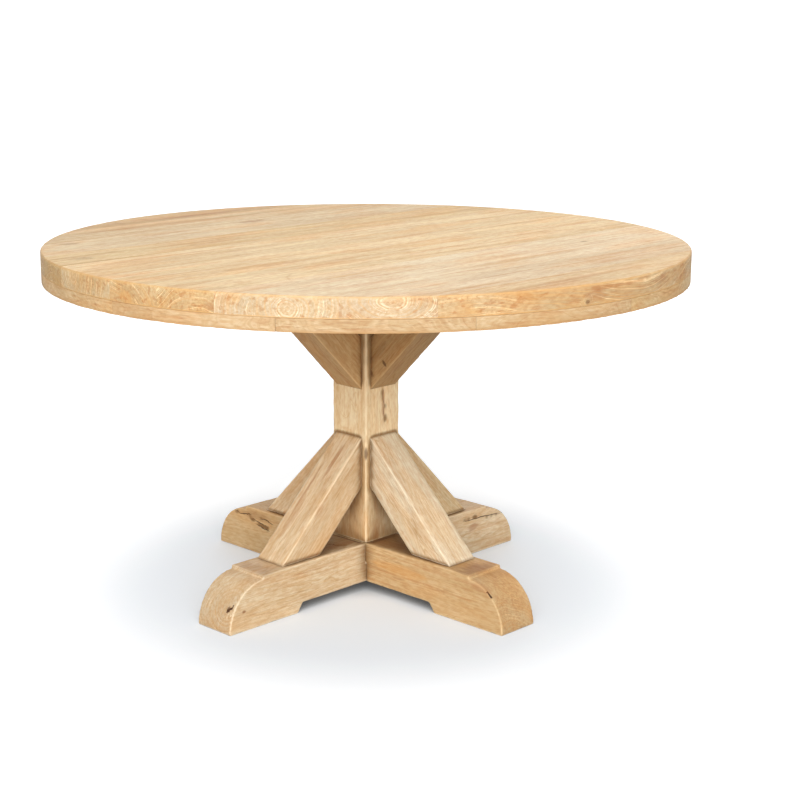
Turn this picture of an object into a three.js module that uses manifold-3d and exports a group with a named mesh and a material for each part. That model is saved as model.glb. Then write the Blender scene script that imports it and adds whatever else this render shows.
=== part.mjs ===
// A round dining table: a thick plank top with a built-up rim, on a timber pedestal.
//
// The pedestal is a square post with four braces at its foot and four under the top. The lower braces
// stand on two half-lapped base beams, and the upper ones carry two half-lapped bearers, which the top
// is screwed to. The boards of the top run along X, and the beams and bearers run along X and Y.
//
// Millimetres, +Z up. The origin is on the floor, under the middle of the top.

import * as THREE from "three";
import { mergeVertices } from "three/addons/utils/BufferGeometryUtils.js";
import Module from "manifold-3d";

// ---- Overall sizes ----
const TABLE_HEIGHT = 762; // 30 in
const TOP_DIAMETER = 1371.6; // 54 in

// ---- Top ----
const PLANK_THICKNESS = 40;
const PLANK_SHARES = [120, 116, 196, 119, 123, 187, 125, 155, 125, 106]; // relative widths from -Y to +Y
const TOP_EDGE_CHAMFER = 4;
const RIM_THICKNESS = 26; // the layer that is built up under the edge of the boards
const RIM_WIDTH = 90;
const RIM_SEGMENTS = 12;
const RIM_TURN_DEG = 1.5; // where the first joint between two segments lies, from +X

// ---- Pedestal ----
const POST_SIDE = 102;
const COLLAR_LENGTH = 104; // bare post between the lower and the upper braces
const TENON_SIDE = 50;
const BRACE_SIDE = 80;
const BRACE_ANGLE_DEG = 45; // above the horizontal
const BEARER_THICKNESS = 32;
const BEARER_WIDTH = 102;
const BEARER_OVERHANG = 130; // bearer beyond the outer edge of a brace
const BEARER_END_CHAMFER = 14;

// ---- Base beams ----
const BEAM_WIDTH = 102;
const BEAM_HEIGHT = 108;
const TOE_LAND = 60; // flat top of the beam beyond the outer edge of a brace
const STEP_DROP = 8; // the small step down from the flat top to the rounded foot
const FOOT_ROUND = 94; // length of the rounded foot
const PAD_LENGTH = 191; // part of each foot that stands on the floor
const ARCH_HEIGHT = 20; // the relief between the two pads
const ARCH_RUN = 14; // the relief's slanted end

// ---- Fastenings ----
const DOWEL_DIAMETER = 14;
const DOWEL_BITE = 30; // depth in each brace
const DOWEL_STAGGER = 22; // height between the two dowels that cross in the post
const WOOD_SCREW = { diameter: 6, headDiameter: 13, headHeight: 5, tip: 8 };
const BRACE_SCREW_BITE = 45;
const BRACE_SCREW_OFFSET = 12; // from the middle of the brace's foot, towards the post
const BRACE_SCREW_SINK = { beam: 34, bearer: 8 }; // depth of the seat below the face it is driven from
const TOP_SCREW_BITE = 28;
const TOP_SCREW_INSET = 30; // outer screw to the bearer's end
const TOP_SCREW_SPACING = 65;
const TOP_SCREW_SLACK = 1; // extra radius in the bearer, so that the boards can swell and shrink
const LAG = { diameter: 10, acrossFlats: 17, headHeight: 7, tip: 10 };
const LAG_WASHER = { diameter: 30, thickness: 2.5 };
const LAG_SINK = { beam: 14, bearer: 12 };
const LAG_TO_DOWEL = 40; // wood left between a lag screw's tip and the nearest dowel
const HEAD_ROOM = 1.5; // extra radius round a sunk head or washer

// ---- Fits and fineness ----
const GAP = 0.3; // glue line, and clearance between any two pieces
const CUT_PAST = 5; // how far a cutting tool runs past a face
const TOP_FACETS = 180;
const FOOT_FACETS = 14;
const ROUND_FACETS = 16;
const HEXAGON = 6;
const WELD_DISTANCE = 1e-3; // corners of a geometry that are nearer than this are one corner

// ---- Worked-out places ----
const topRadius = TOP_DIAMETER / 2;
const plankUnderside = TABLE_HEIGHT - PLANK_THICKNESS;
const rimUnderside = plankUnderside - RIM_THICKNESS;
const bearerUnderside = plankUnderside - BEARER_THICKNESS;
const bearerLap = plankUnderside - BEARER_THICKNESS / 2;
const beamLap = (BEAM_HEIGHT + ARCH_HEIGHT) / 2;
const braceSlope = Math.tan(THREE.MathUtils.degToRad(BRACE_ANGLE_DEG));
const braceFaceHeight = BRACE_SIDE / Math.cos(THREE.MathUtils.degToRad(BRACE_ANGLE_DEG));
const braceRise = (bearerUnderside - BEAM_HEIGHT - COLLAR_LENGTH) / 2;
const postFace = POST_SIDE / 2;
const braceToe = postFace + braceRise / braceSlope;
const braceHeel = braceToe - braceFaceHeight / braceSlope;
const bearerReach = braceToe + BEARER_OVERHANG;
const footStep = braceToe + TOE_LAND;
const footReach = footStep + FOOT_ROUND;
const padInner = footReach - PAD_LENGTH;
const braceScrewPlace = (braceHeel + braceToe) / 2 - BRACE_SCREW_OFFSET;

// The four arms, each with its turn about Z. Pieces are drawn along +X and turned to their arm.
const ARMS = { right: 0, back: 90, left: 180, front: 270 };
const PAIRS = { left_right: 0, front_back: 90 };

// ---- Solids ----
const wasm = await Module();
wasm.setup();

// A closed three.js geometry as a solid that can be joined and cut.
function solidOf(geometry) {
  const bare = new THREE.BufferGeometry().setAttribute("position", geometry.getAttribute("position"));
  if (geometry.index) bare.setIndex(geometry.index);
  const merged = mergeVertices(bare, WELD_DISTANCE);
  return new wasm.Manifold(
    new wasm.Mesh({
      numProp: 3,
      vertProperties: merged.getAttribute("position").array,
      triVerts: new Uint32Array(merged.index.array),
    }),
  );
}

function geometryOf(solid) {
  const made = solid.getMesh();
  return new THREE.BufferGeometry()
    .setAttribute("position", new THREE.BufferAttribute(made.vertProperties, 3))
    .setIndex(new THREE.BufferAttribute(made.triVerts, 1));
}

// A box from its lowest to its highest corner.
function block(low, high) {
  const [dx, dy, dz] = high.map((h, k) => h - low[k]);
  const box = new THREE.BoxGeometry(dx, dy, dz);
  box.translate(...high.map((h, k) => (h + low[k]) / 2));
  return solidOf(box);
}

// A round rod or hole along Z, from one height to the other.
function rod(x, y, radius, bottom, top, facets = ROUND_FACETS) {
  const made = new THREE.CylinderGeometry(radius, radius, top - bottom, facets);
  made.rotateX(Math.PI / 2);
  made.translate(x, y, (top + bottom) / 2);
  return solidOf(made);
}

// A rod along X, centred on the post.
function crossRod(radius, halfLength, z) {
  const made = new THREE.CylinderGeometry(radius, radius, 2 * halfLength, ROUND_FACETS);
  made.rotateZ(Math.PI / 2);
  made.translate(0, 0, z);
  return solidOf(made);
}

// An outline in the X-Z plane, made thick along Y and centred on it.
function slab(outline, thickness) {
  const made = new THREE.ExtrudeGeometry(outline, {
    depth: thickness,
    bevelEnabled: false,
    curveSegments: FOOT_FACETS,
  });
  made.rotateX(Math.PI / 2);
  made.translate(0, thickness / 2, 0);
  return solidOf(made);
}

function turned(solid, degrees) {
  return solid.rotate([0, 0, degrees]);
}

function minus(solid, cutters) {
  return cutters.reduce((left, cutter) => left.subtract(cutter), solid);
}

// ---- Materials ----
const timber = (color, roughness) => new THREE.MeshStandardMaterial({ color, roughness, metalness: 0 });
const topTimber = timber(0xdfc096, 0.62);
const rimTimber = timber(0xd6b184, 0.66);
const baseTimber = timber(0xcda877, 0.68);
const dowelTimber = timber(0xd9bd8f, 0.7);
const zinc = new THREE.MeshStandardMaterial({ color: 0xb4b6b8, roughness: 0.38, metalness: 1 });

const table = new THREE.Group();

const numbered = (index) => String(index + 1).padStart(2, "0");

function place(name, solid, material) {
  const mesh = new THREE.Mesh(geometryOf(solid), material);
  mesh.name = name;
  table.add(mesh);
}

// ---- Fastenings, drawn with the wood that the head bears on at z = 0 and the shank rising into it ----

// Turned about the axis: a pointed shank on a flat round head.
function woodScrew(length) {
  const { diameter, headDiameter, headHeight, tip } = WOOD_SCREW;
  const profile = [
    [0, -headHeight - GAP],
    [headDiameter / 2, -headHeight - GAP],
    [headDiameter / 2, -GAP],
    [diameter / 2, -GAP],
    [diameter / 2, length - tip],
    [0, length],
  ];
  const made = new THREE.LatheGeometry(profile.map((p) => new THREE.Vector2(...p)), ROUND_FACETS);
  made.rotateX(Math.PI / 2);
  return solidOf(made);
}

// The hole that a wood screw passes through, with the sink for its head.
function woodScrewHole(length, sink, slack = 0) {
  const { diameter, headDiameter } = WOOD_SCREW;
  const shank = rod(0, 0, diameter / 2 + GAP + slack, -CUT_PAST, length + GAP);
  if (sink <= 0) return shank;
  return shank.add(rod(0, 0, headDiameter / 2 + HEAD_ROOM, -sink - CUT_PAST, 0));
}

// A hexagon head on a pointed shank. Its underside is at z = 0.
function lagScrew(length) {
  const { diameter, acrossFlats, headHeight, tip } = LAG;
  const head = rod(0, 0, acrossFlats / Math.sqrt(3), -headHeight, 0, HEXAGON);
  const shank = new THREE.LatheGeometry(
    [
      [0, -headHeight / 2],
      [diameter / 2, -headHeight / 2],
      [diameter / 2, length - tip],
      [0, length],
    ].map((p) => new THREE.Vector2(...p)),
    ROUND_FACETS,
  );
  shank.rotateX(Math.PI / 2);
  return head.add(solidOf(shank));
}

function lagHole(length, sink) {
  const shank = rod(0, 0, LAG.diameter / 2 + GAP, -CUT_PAST, length + GAP);
  return shank.add(rod(0, 0, LAG_WASHER.diameter / 2 + HEAD_ROOM, -sink - CUT_PAST, 0));
}

// A ring whose top face is against the seat.
function lagWasher() {
  const inner = LAG.diameter / 2 + GAP;
  const { diameter, thickness } = LAG_WASHER;
  const corners = [
    [inner, -thickness - GAP],
    [diameter / 2, -thickness - GAP],
    [diameter / 2, -GAP],
    [inner, -GAP],
    [inner, -thickness - GAP],
  ];
  const made = new THREE.LatheGeometry(corners.map((p) => new THREE.Vector2(...p)), 2 * ROUND_FACETS);
  made.rotateX(Math.PI / 2);
  return solidOf(made);
}

// Each driven fastening: where its seat is, and whether it points up or down.
const driven = (solid, x, z, up) => (up ? solid : solid.rotate([180, 0, 0])).translate([x, 0, z]);

const screwLengths = {
  lower: BEAM_HEIGHT - ARCH_HEIGHT - BRACE_SCREW_SINK.beam + BRACE_SCREW_BITE,
  upper: BEARER_THICKNESS - BRACE_SCREW_SINK.bearer + BRACE_SCREW_BITE,
  top: BEARER_THICKNESS + TOP_SCREW_BITE,
};
const braceScrewSeats = {
  beam: ARCH_HEIGHT + BRACE_SCREW_SINK.beam,
  bearer: plankUnderside - BRACE_SCREW_SINK.bearer,
};
const lowerScrew = (solid) => driven(solid, braceScrewPlace, braceScrewSeats.beam, true);
const upperScrew = (solid) => driven(solid, braceScrewPlace, braceScrewSeats.bearer, false);
const topScrewPlaces = {
  outer: bearerReach - TOP_SCREW_INSET,
  inner: bearerReach - TOP_SCREW_INSET - TOP_SCREW_SPACING,
};

// The dowels' heights: they aim for the middle of each brace, and the two pairs pass each other in the
// post.
const dowelMiddle = BEAM_HEIGHT + braceRise - braceFaceHeight / 2 - (DOWEL_BITE * braceSlope) / 2;
const dowelMirror = BEAM_HEIGHT + bearerUnderside;
const dowelHeights = {
  lower: { left_right: dowelMiddle + DOWEL_STAGGER / 2, front_back: dowelMiddle - DOWEL_STAGGER / 2 },
};
dowelHeights.upper = {
  left_right: dowelMirror - dowelHeights.lower.left_right,
  front_back: dowelMirror - dowelHeights.lower.front_back,
};

// A lag screw's seat is under its washer. Its tip stops short of the dowels.
const lagSeats = { beam: ARCH_HEIGHT + LAG_SINK.beam, bearer: plankUnderside - LAG_SINK.bearer };
const lagStop = DOWEL_DIAMETER / 2 + LAG_TO_DOWEL;
const lagLengths = {
  beam: Math.min(...Object.values(dowelHeights.lower)) - lagStop - lagSeats.beam,
  bearer: lagSeats.bearer - Math.max(...Object.values(dowelHeights.upper)) - lagStop,
};

// Holes along one arm, before it is turned.
const lowerScrewHole = lowerScrew(woodScrewHole(screwLengths.lower, braceScrewSeats.beam));
const upperScrewHole = upperScrew(woodScrewHole(screwLengths.upper, BRACE_SCREW_SINK.bearer));
function topScrewHole(x, slack) {
  return driven(woodScrewHole(screwLengths.top, 0, slack), x, bearerUnderside, true);
}
const beamLagHole = driven(lagHole(lagLengths.beam, LAG_SINK.beam), 0, lagSeats.beam, true);
const bearerLagHole = driven(lagHole(lagLengths.bearer, LAG_SINK.bearer), 0, lagSeats.bearer, false);

const dowelHole = (z) => crossRod(DOWEL_DIAMETER / 2 + GAP, postFace + DOWEL_BITE + GAP, z);

// ---- Top boards ----
function makePlanks() {
  const profile = [
    [0, plankUnderside],
    [topRadius, plankUnderside],
    [topRadius, TABLE_HEIGHT - TOP_EDGE_CHAMFER],
    [topRadius - TOP_EDGE_CHAMFER, TABLE_HEIGHT],
    [0, TABLE_HEIGHT],
  ];
  const round = new THREE.LatheGeometry(profile.map((p) => new THREE.Vector2(...p)), TOP_FACETS);
  round.rotateX(Math.PI / 2);
  const disc = solidOf(round);
  const holes = Object.values(ARMS).flatMap((turn) =>
    Object.values(topScrewPlaces).map((x) => turned(topScrewHole(x, 0), turn)),
  );
  const total = PLANK_SHARES.reduce((sum, share) => sum + share, 0);
  const seams = [-topRadius - CUT_PAST];
  let filled = 0;
  for (const share of PLANK_SHARES.slice(0, -1)) {
    filled += share;
    seams.push((filled / total) * TOP_DIAMETER - topRadius);
  }
  seams.push(topRadius + CUT_PAST);
  for (let k = 0; k < PLANK_SHARES.length; k++) {
    const strip = block(
      [-TOP_DIAMETER, seams[k] + GAP / 2, plankUnderside - CUT_PAST],
      [TOP_DIAMETER, seams[k + 1] - GAP / 2, TABLE_HEIGHT + CUT_PAST],
    );
    place(`top_plank_${numbered(k)}`, minus(disc.intersect(strip), holes), topTimber);
  }
}

// ---- Rim segments, glued under the edge of the boards ----
function makeRim() {
  const pitch = (2 * Math.PI) / RIM_SEGMENTS;
  const half = GAP / 2 / topRadius;
  for (let k = 0; k < RIM_SEGMENTS; k++) {
    const start = THREE.MathUtils.degToRad(RIM_TURN_DEG) + k * pitch + half;
    const end = start + pitch - 2 * half;
    const outline = new THREE.Shape();
    outline.absarc(0, 0, topRadius, start, end, false);
    outline.absarc(0, 0, topRadius - RIM_WIDTH, end, start, true);
    const made = new THREE.ExtrudeGeometry(outline, {
      depth: RIM_THICKNESS - GAP,
      bevelEnabled: false,
      curveSegments: Math.round(TOP_FACETS / RIM_SEGMENTS),
    });
    made.translate(0, 0, rimUnderside);
    place(`rim_segment_${numbered(k)}`, solidOf(made), rimTimber);
  }
}

// ---- Bearers: two flat bars, half-lapped where they cross ----
function makeBearers() {
  const top = plankUnderside - GAP;
  const outline = new THREE.Shape();
  outline.moveTo(-bearerReach + BEARER_END_CHAMFER, bearerUnderside);
  outline.lineTo(bearerReach - BEARER_END_CHAMFER, bearerUnderside);
  outline.lineTo(bearerReach, bearerUnderside + BEARER_END_CHAMFER);
  outline.lineTo(bearerReach, top);
  outline.lineTo(-bearerReach, top);
  outline.lineTo(-bearerReach, bearerUnderside + BEARER_END_CHAMFER);
  const bar = slab(outline, BEARER_WIDTH);
  const half = BEARER_WIDTH / 2 + GAP;
  const notches = {
    left_right: block([-half, -BEARER_WIDTH, bearerLap - GAP / 2], [half, BEARER_WIDTH, top + CUT_PAST]),
    front_back: block(
      [-half, -BEARER_WIDTH, bearerUnderside - CUT_PAST],
      [half, BEARER_WIDTH, bearerLap + GAP / 2],
    ),
  };
  const holes = [0, 180].flatMap((turn) => [
    turned(upperScrewHole, turn),
    ...Object.values(topScrewPlaces).map((x) => turned(topScrewHole(x, TOP_SCREW_SLACK), turn)),
  ]);
  for (const [pair, turn] of Object.entries(PAIRS)) {
    const made = minus(bar, [notches[pair], ...holes, bearerLagHole]);
    place(`bearer_${pair}`, turned(made, turn), baseTimber);
  }
}

// ---- Post ----
function makePost() {
  const shaft = block(
    [-postFace, -postFace, BEAM_HEIGHT + GAP],
    [postFace, postFace, bearerUnderside - GAP],
  );
  const tenonHalf = TENON_SIDE / 2;
  const tenon = block(
    [-tenonHalf, -tenonHalf, beamLap + GAP],
    [tenonHalf, tenonHalf, BEAM_HEIGHT + CUT_PAST],
  );
  const dowelHoles = Object.values(dowelHeights).flatMap((heights) =>
    Object.entries(PAIRS).map(([pair, turn]) => turned(dowelHole(heights[pair]), turn)),
  );
  const made = minus(shaft.add(tenon), [...dowelHoles, beamLagHole, bearerLagHole]);
  place("pedestal_post", made, baseTimber);
}

// ---- Braces: eight sticks of one shape, cut level at one end and upright at the other ----
function braceOutline(seat, way) {
  const face = postFace + GAP;
  const rise = braceRise - GAP;
  const outline = new THREE.Shape();
  outline.moveTo(face, seat + way * (rise - braceFaceHeight));
  outline.lineTo(face + (rise - braceFaceHeight) / braceSlope, seat);
  outline.lineTo(face + rise / braceSlope, seat);
  outline.lineTo(face, seat + way * rise);
  return outline;
}

function makeBraces() {
  const levels = {
    lower: { seat: BEAM_HEIGHT + GAP, way: 1, hole: lowerScrewHole },
    upper: { seat: bearerUnderside - GAP, way: -1, hole: upperScrewHole },
  };
  for (const [level, { seat, way, hole }] of Object.entries(levels))
    for (const [arm, turn] of Object.entries(ARMS)) {
      const pair = turn % 180 === 0 ? "left_right" : "front_back";
      const stick = slab(braceOutline(seat, way), BRACE_SIDE);
      const made = minus(stick, [hole, dowelHole(dowelHeights[level][pair])]);
      place(`${level}_brace_${arm}`, turned(made, turn), baseTimber);
    }
}

// ---- Base beams: stepped and rounded feet, relieved in the middle, half-lapped where they cross ----
function makeBeams() {
  const roundTop = BEAM_HEIGHT - STEP_DROP;
  const archEnd = padInner - ARCH_RUN;
  const outline = new THREE.Shape();
  outline.moveTo(-padInner, 0);
  outline.lineTo(-archEnd, ARCH_HEIGHT);
  outline.lineTo(archEnd, ARCH_HEIGHT);
  outline.lineTo(padInner, 0);
  outline.lineTo(footReach, 0);
  outline.absellipse(footStep, 0, FOOT_ROUND, roundTop, 0, Math.PI / 2, false);
  outline.lineTo(footStep, BEAM_HEIGHT);
  outline.lineTo(-footStep, BEAM_HEIGHT);
  outline.lineTo(-footStep, roundTop);
  outline.absellipse(-footStep, 0, FOOT_ROUND, roundTop, Math.PI / 2, Math.PI, false);
  const bar = slab(outline, BEAM_WIDTH);
  const half = BEAM_WIDTH / 2 + GAP;
  const mortise = TENON_SIDE / 2 + GAP;
  const past = BEAM_HEIGHT + CUT_PAST;
  const cuts = {
    left_right: [block([-half, -BEAM_WIDTH, beamLap - GAP / 2], [half, BEAM_WIDTH, past])],
    front_back: [
      block([-half, -BEAM_WIDTH, -CUT_PAST], [half, BEAM_WIDTH, beamLap + GAP / 2]),
      block([-mortise, -mortise, -CUT_PAST], [mortise, mortise, past]),
    ],
  };
  const holes = [0, 180].map((turn) => turned(lowerScrewHole, turn));
  for (const [pair, turn] of Object.entries(PAIRS)) {
    const made = minus(bar, [...cuts[pair], ...holes, beamLagHole]);
    place(`base_beam_${pair}`, turned(made, turn), baseTimber);
  }
}

// ---- Fastenings in place ----
function makeFastenings() {
  for (const [level, heights] of Object.entries(dowelHeights))
    for (const [pair, turn] of Object.entries(PAIRS)) {
      const dowel = crossRod(DOWEL_DIAMETER / 2, postFace + DOWEL_BITE, heights[pair]);
      place(`${level}_dowel_${pair}`, turned(dowel, turn), dowelTimber);
    }
  for (const [arm, turn] of Object.entries(ARMS)) {
    place(`lower_brace_screw_${arm}`, turned(lowerScrew(woodScrew(screwLengths.lower)), turn), zinc);
    place(`upper_brace_screw_${arm}`, turned(upperScrew(woodScrew(screwLengths.upper)), turn), zinc);
    for (const [spot, x] of Object.entries(topScrewPlaces)) {
      const screw = driven(woodScrew(screwLengths.top), x, bearerUnderside, true);
      place(`top_screw_${arm}_${spot}`, turned(screw, turn), zinc);
    }
  }
  const headDrop = LAG_WASHER.thickness + 2 * GAP;
  for (const [at, up] of [["beam", true], ["bearer", false]]) {
    const head = lagSeats[at] + (up ? -headDrop : headDrop);
    place(`${at}_lag_screw`, driven(lagScrew(lagLengths[at]), 0, head, up), zinc);
    place(`${at}_lag_washer`, driven(lagWasher(), 0, lagSeats[at], up), zinc);
  }
}

makePlanks();
makeRim();
makeBearers();
makePost();
makeBraces();
makeBeams();
makeFastenings();

export default table;
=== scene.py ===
"""Looks of a round pedestal dining table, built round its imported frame.

The top is ten boards on a built-up rim of twelve segments. It stands on a square post with eight braces,
over two crossed base beams. Every timber is remade here with worn arrises and drying checks, and its grain
runs through it as it would in the log. Everything is in metres, in the frame's own axes: the boards run
along X, and the beams along X and Y.
"""

import logging
import math
from collections.abc import Iterable, Sequence
from dataclasses import dataclass, replace
from enum import Enum

import bmesh
import bpy
import numpy as np
from mathutils import Euler, Matrix, Vector
from mathutils.bvhtree import BVHTree


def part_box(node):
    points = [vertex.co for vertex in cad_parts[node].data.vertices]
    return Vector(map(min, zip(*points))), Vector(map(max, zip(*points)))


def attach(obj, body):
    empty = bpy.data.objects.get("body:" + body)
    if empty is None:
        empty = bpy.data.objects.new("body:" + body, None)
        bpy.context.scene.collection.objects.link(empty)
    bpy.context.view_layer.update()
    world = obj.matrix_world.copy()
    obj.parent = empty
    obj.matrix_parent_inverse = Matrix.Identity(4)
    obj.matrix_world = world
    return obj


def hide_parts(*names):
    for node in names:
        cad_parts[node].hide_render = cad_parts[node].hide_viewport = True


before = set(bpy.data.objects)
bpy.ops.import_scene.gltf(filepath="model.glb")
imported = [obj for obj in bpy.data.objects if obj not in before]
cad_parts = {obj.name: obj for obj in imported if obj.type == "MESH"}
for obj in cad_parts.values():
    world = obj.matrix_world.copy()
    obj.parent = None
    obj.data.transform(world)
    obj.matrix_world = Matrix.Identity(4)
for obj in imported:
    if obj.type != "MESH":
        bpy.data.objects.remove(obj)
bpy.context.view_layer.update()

ROOT = "root"
WELD = 1e-6
TOP_SMOOTH_UNDER = math.radians(32.0)
STEEL_SMOOTH_UNDER = math.radians(35.0)

Triple = tuple[float, float, float]
Socket = bpy.types.NodeSocket
Value = bpy.types.NodeSocket | float | int | bool | tuple
Box = tuple[Vector, Vector]

UP: Triple = (0.0, 0.0, 1.0)
WHITE: Triple = (1.0, 1.0, 1.0)
GEOMETRY = {"Geometry": "Geometry"}

log = logging.getLogger("pedestal_table")


# ---- Choices ----


class Slot(Enum):
    """The record's material slots."""

    TOP = "top_wood"
    RIM = "rim_wood"
    BASE = "base_wood"
    DOWEL = "dowel_wood"
    STEEL = "steel"


class Named(Enum):
    """Choices whose names are parts of the CAD nodes' names."""

    @property
    def label(self) -> str:
        """Its name in the CAD nodes."""
        return self.name.lower()


class Bearing(Named):
    """Directions in plan, each given by its turn about Z in degrees from +X."""

    @property
    def turn(self) -> float:
        """Its turn about Z in radians."""
        return math.radians(self.value)

    @property
    def outward(self) -> Triple:
        """Its own direction, one metre long."""
        return (math.cos(self.turn), math.sin(self.turn), 0.0)


class Arm(Bearing):
    """The four arms of the pedestal."""

    RIGHT = 0
    BACK = 90
    LEFT = 180
    FRONT = 270


class Pair(Bearing):
    """The two lines that the arms lie on."""

    LEFT_RIGHT = 0
    FRONT_BACK = 90


class Level(Named):
    """The two sets of braces: the way that each one leans, as a sign for Z."""

    LOWER = 1
    UPPER = -1


# ---- Colours ----


def tone(code: int) -> Triple:
    """Turns a display colour into the linear colour that shaders use.

    Args:
        code: The colour as 0xRRGGBB.

    Returns:
        Its linear red, green and blue.
    """
    knee, slope, offset, power = 0.04045, 12.92, 0.055, 2.4
    shares = [(code >> shift & 0xFF) / 0xFF for shift in (16, 8, 0)]
    return tuple(
        share / slope if share <= knee else ((share + offset) / (1.0 + offset)) ** power for share in shares
    )


# ---- Node trees ----


def inputs_of(kind: str, *names: str) -> dict[str, str]:
    """Lists inputs of one type for a node group."""
    return dict.fromkeys(names, kind)


class Graph:
    """A node tree under construction. Each call adds one node or two and gives what they make.

    Attributes:
        SEED_STEP: How far apart the noises of two seeds lie.
    """

    SEED_STEP: Triple = (17.3, 9.1, 5.7)

    def __init__(self, tree: bpy.types.NodeTree) -> None:
        """Starts on an empty tree.

        Args:
            tree: The tree that the nodes go into.
        """
        self.tree = tree
        self.taken: bpy.types.NodeOutputs | None = None
        self.given: bpy.types.NodeInputs | None = None

    @classmethod
    def of(cls, owner: bpy.types.Material | bpy.types.World) -> "Graph":
        """Starts the node tree of a material or a world afresh.

        Args:
            owner: The material or the world.

        Returns:
            Its empty graph.
        """
        owner.use_nodes = True
        owner.node_tree.nodes.clear()
        return cls(owner.node_tree)

    @classmethod
    def group(cls, name: str, kind: str, takes: dict[str, str], gives: dict[str, str]) -> "Graph":
        """Starts a node group with named inputs and outputs.

        Args:
            name: The group's name.
            kind: The tree's type, for shaders or for geometry.
            takes: The type of each input.
            gives: The type of each output.

        Returns:
            The graph of the new group.
        """
        graph = cls(bpy.data.node_groups.new(name, kind))
        sockets = graph.tree.interface
        for way, sides in (("INPUT", takes), ("OUTPUT", gives)):
            for label, socket_type in sides.items():
                sockets.new_socket(label, in_out=way, socket_type=f"NodeSocket{socket_type}")
        graph.taken = graph.tree.nodes.new("NodeGroupInput").outputs
        graph.given = graph.tree.nodes.new("NodeGroupOutput").inputs
        return graph

    def feed(self, socket: Socket, value: Value) -> None:
        """Links an input, or sets its value.

        Args:
            socket: The input.
            value: What it gets: another node's output, or a number, vector or colour.
        """
        if isinstance(value, bpy.types.NodeSocket):
            self.tree.links.new(value, socket)
        elif socket.type == "RGBA" and len(value) == 3:
            socket.default_value = (*value, 1.0)
        else:
            socket.default_value = value

    def add(
        self, kind: str, inputs: dict[str | int, Value] | None = None, **settings: object
    ) -> bpy.types.Node:
        """Adds a node.

        Args:
            kind: The node's type.
            inputs: What goes into its sockets, by their name or number.
            **settings: The node's own properties.

        Returns:
            The node.
        """
        node = self.tree.nodes.new(kind)
        for key, value in settings.items():
            setattr(node, key, value)
        for key, value in (inputs or {}).items():
            self.feed(node.inputs[key], value)
        return node

    def maths(self, operation: str, *values: Value) -> Socket:
        """Works out a number from others. Add, subtract and the like are named as Blender names them."""
        return self.add("ShaderNodeMath", dict(enumerate(values)), operation=operation).outputs[0]

    def plus(self, first: Value, second: Value) -> Socket:
        """The sum of two numbers."""
        return self.maths("ADD", first, second)

    def minus(self, first: Value, second: Value) -> Socket:
        """The first number less the second."""
        return self.maths("SUBTRACT", first, second)

    def times(self, first: Value, second: Value) -> Socket:
        """The product of two numbers."""
        return self.maths("MULTIPLY", first, second)

    def over(self, first: Value, second: Value) -> Socket:
        """The first number divided by the second."""
        return self.maths("DIVIDE", first, second)

    def times_plus(self, first: Value, second: Value, third: Value) -> Socket:
        """The product of the first two numbers, plus the third."""
        return self.maths("MULTIPLY_ADD", first, second, third)

    def vector(self, operation: str, *values: Value) -> Socket:
        """Works out a vector from others."""
        return self.add("ShaderNodeVectorMath", dict(enumerate(values)), operation=operation).outputs[0]

    def scaled(self, vector: Value, by: Value) -> Socket:
        """A vector times a number."""
        return self.add("ShaderNodeVectorMath", {0: vector, "Scale": by}, operation="SCALE").outputs[0]

    def length(self, vector: Socket) -> Socket:
        """The length of a vector."""
        return self.add("ShaderNodeVectorMath", {0: vector}, operation="LENGTH").outputs["Value"]

    def parts(self, vector: Socket) -> tuple[Socket, ...]:
        """The X, Y and Z of a vector."""
        return tuple(self.add("ShaderNodeSeparateXYZ", {0: vector}).outputs)

    def joined(self, x: Value, y: Value, z: Value) -> Socket:
        """The vector of three numbers."""
        return self.add("ShaderNodeCombineXYZ", {0: x, 1: y, 2: z}).outputs[0]

    def rise(self, value: Socket, low: float, high: float) -> Socket:
        """A smooth step from 0 at low to 1 at high. It falls where low is the larger."""
        inputs = {"Value": value, "From Min": low, "From Max": high}
        return self.add("ShaderNodeMapRange", inputs, interpolation_type="SMOOTHSTEP").outputs[0]

    def clamped(self, value: Socket) -> Socket:
        """A number held between 0 and 1."""
        return self.add("ShaderNodeClamp", {"Value": value}).outputs[0]

    def mix(self, share: Value, first: Value, second: Value, blend: str = "MIX") -> Socket:
        """Mixes two colours by the share of the second."""
        inputs = {0: share, 6: first, 7: second}
        return self.add("ShaderNodeMix", inputs, data_type="RGBA", blend_type=blend).outputs[2]

    def place(self) -> Socket:
        """The place of each point of a geometry."""
        return self.add("GeometryNodeInputPosition").outputs[0]

    def set_to(self, geometry: Socket, places: Socket) -> Socket:
        """A geometry with each point put at a place of its own."""
        inputs = {"Geometry": geometry, "Position": places}
        return self.add("GeometryNodeSetPosition", inputs).outputs[0]

    def swollen(self, geometry: Socket, by: Value) -> Socket:
        """A geometry with its surface moved out along its normal, or in where the number is negative."""
        offset = self.scaled(self.add("GeometryNodeInputNormal").outputs[0], by)
        inputs = {"Geometry": geometry, "Offset": offset}
        return self.add("GeometryNodeSetPosition", inputs).outputs[0]

    def shifted(self, geometry: Socket, by: Socket) -> Socket:
        """A geometry moved as a whole."""
        return self.add("GeometryNodeTransform", {"Geometry": geometry, "Translation": by}).outputs[0]

    def marked(self, geometry: Socket, name: str, value: Socket) -> Socket:
        """A geometry with a number stored at each point."""
        inputs = {"Geometry": geometry, "Name": name, "Value": value}
        kinds = {"data_type": "FLOAT", "domain": "POINT"}
        return self.add("GeometryNodeStoreNamedAttribute", inputs, **kinds).outputs[0]

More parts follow.
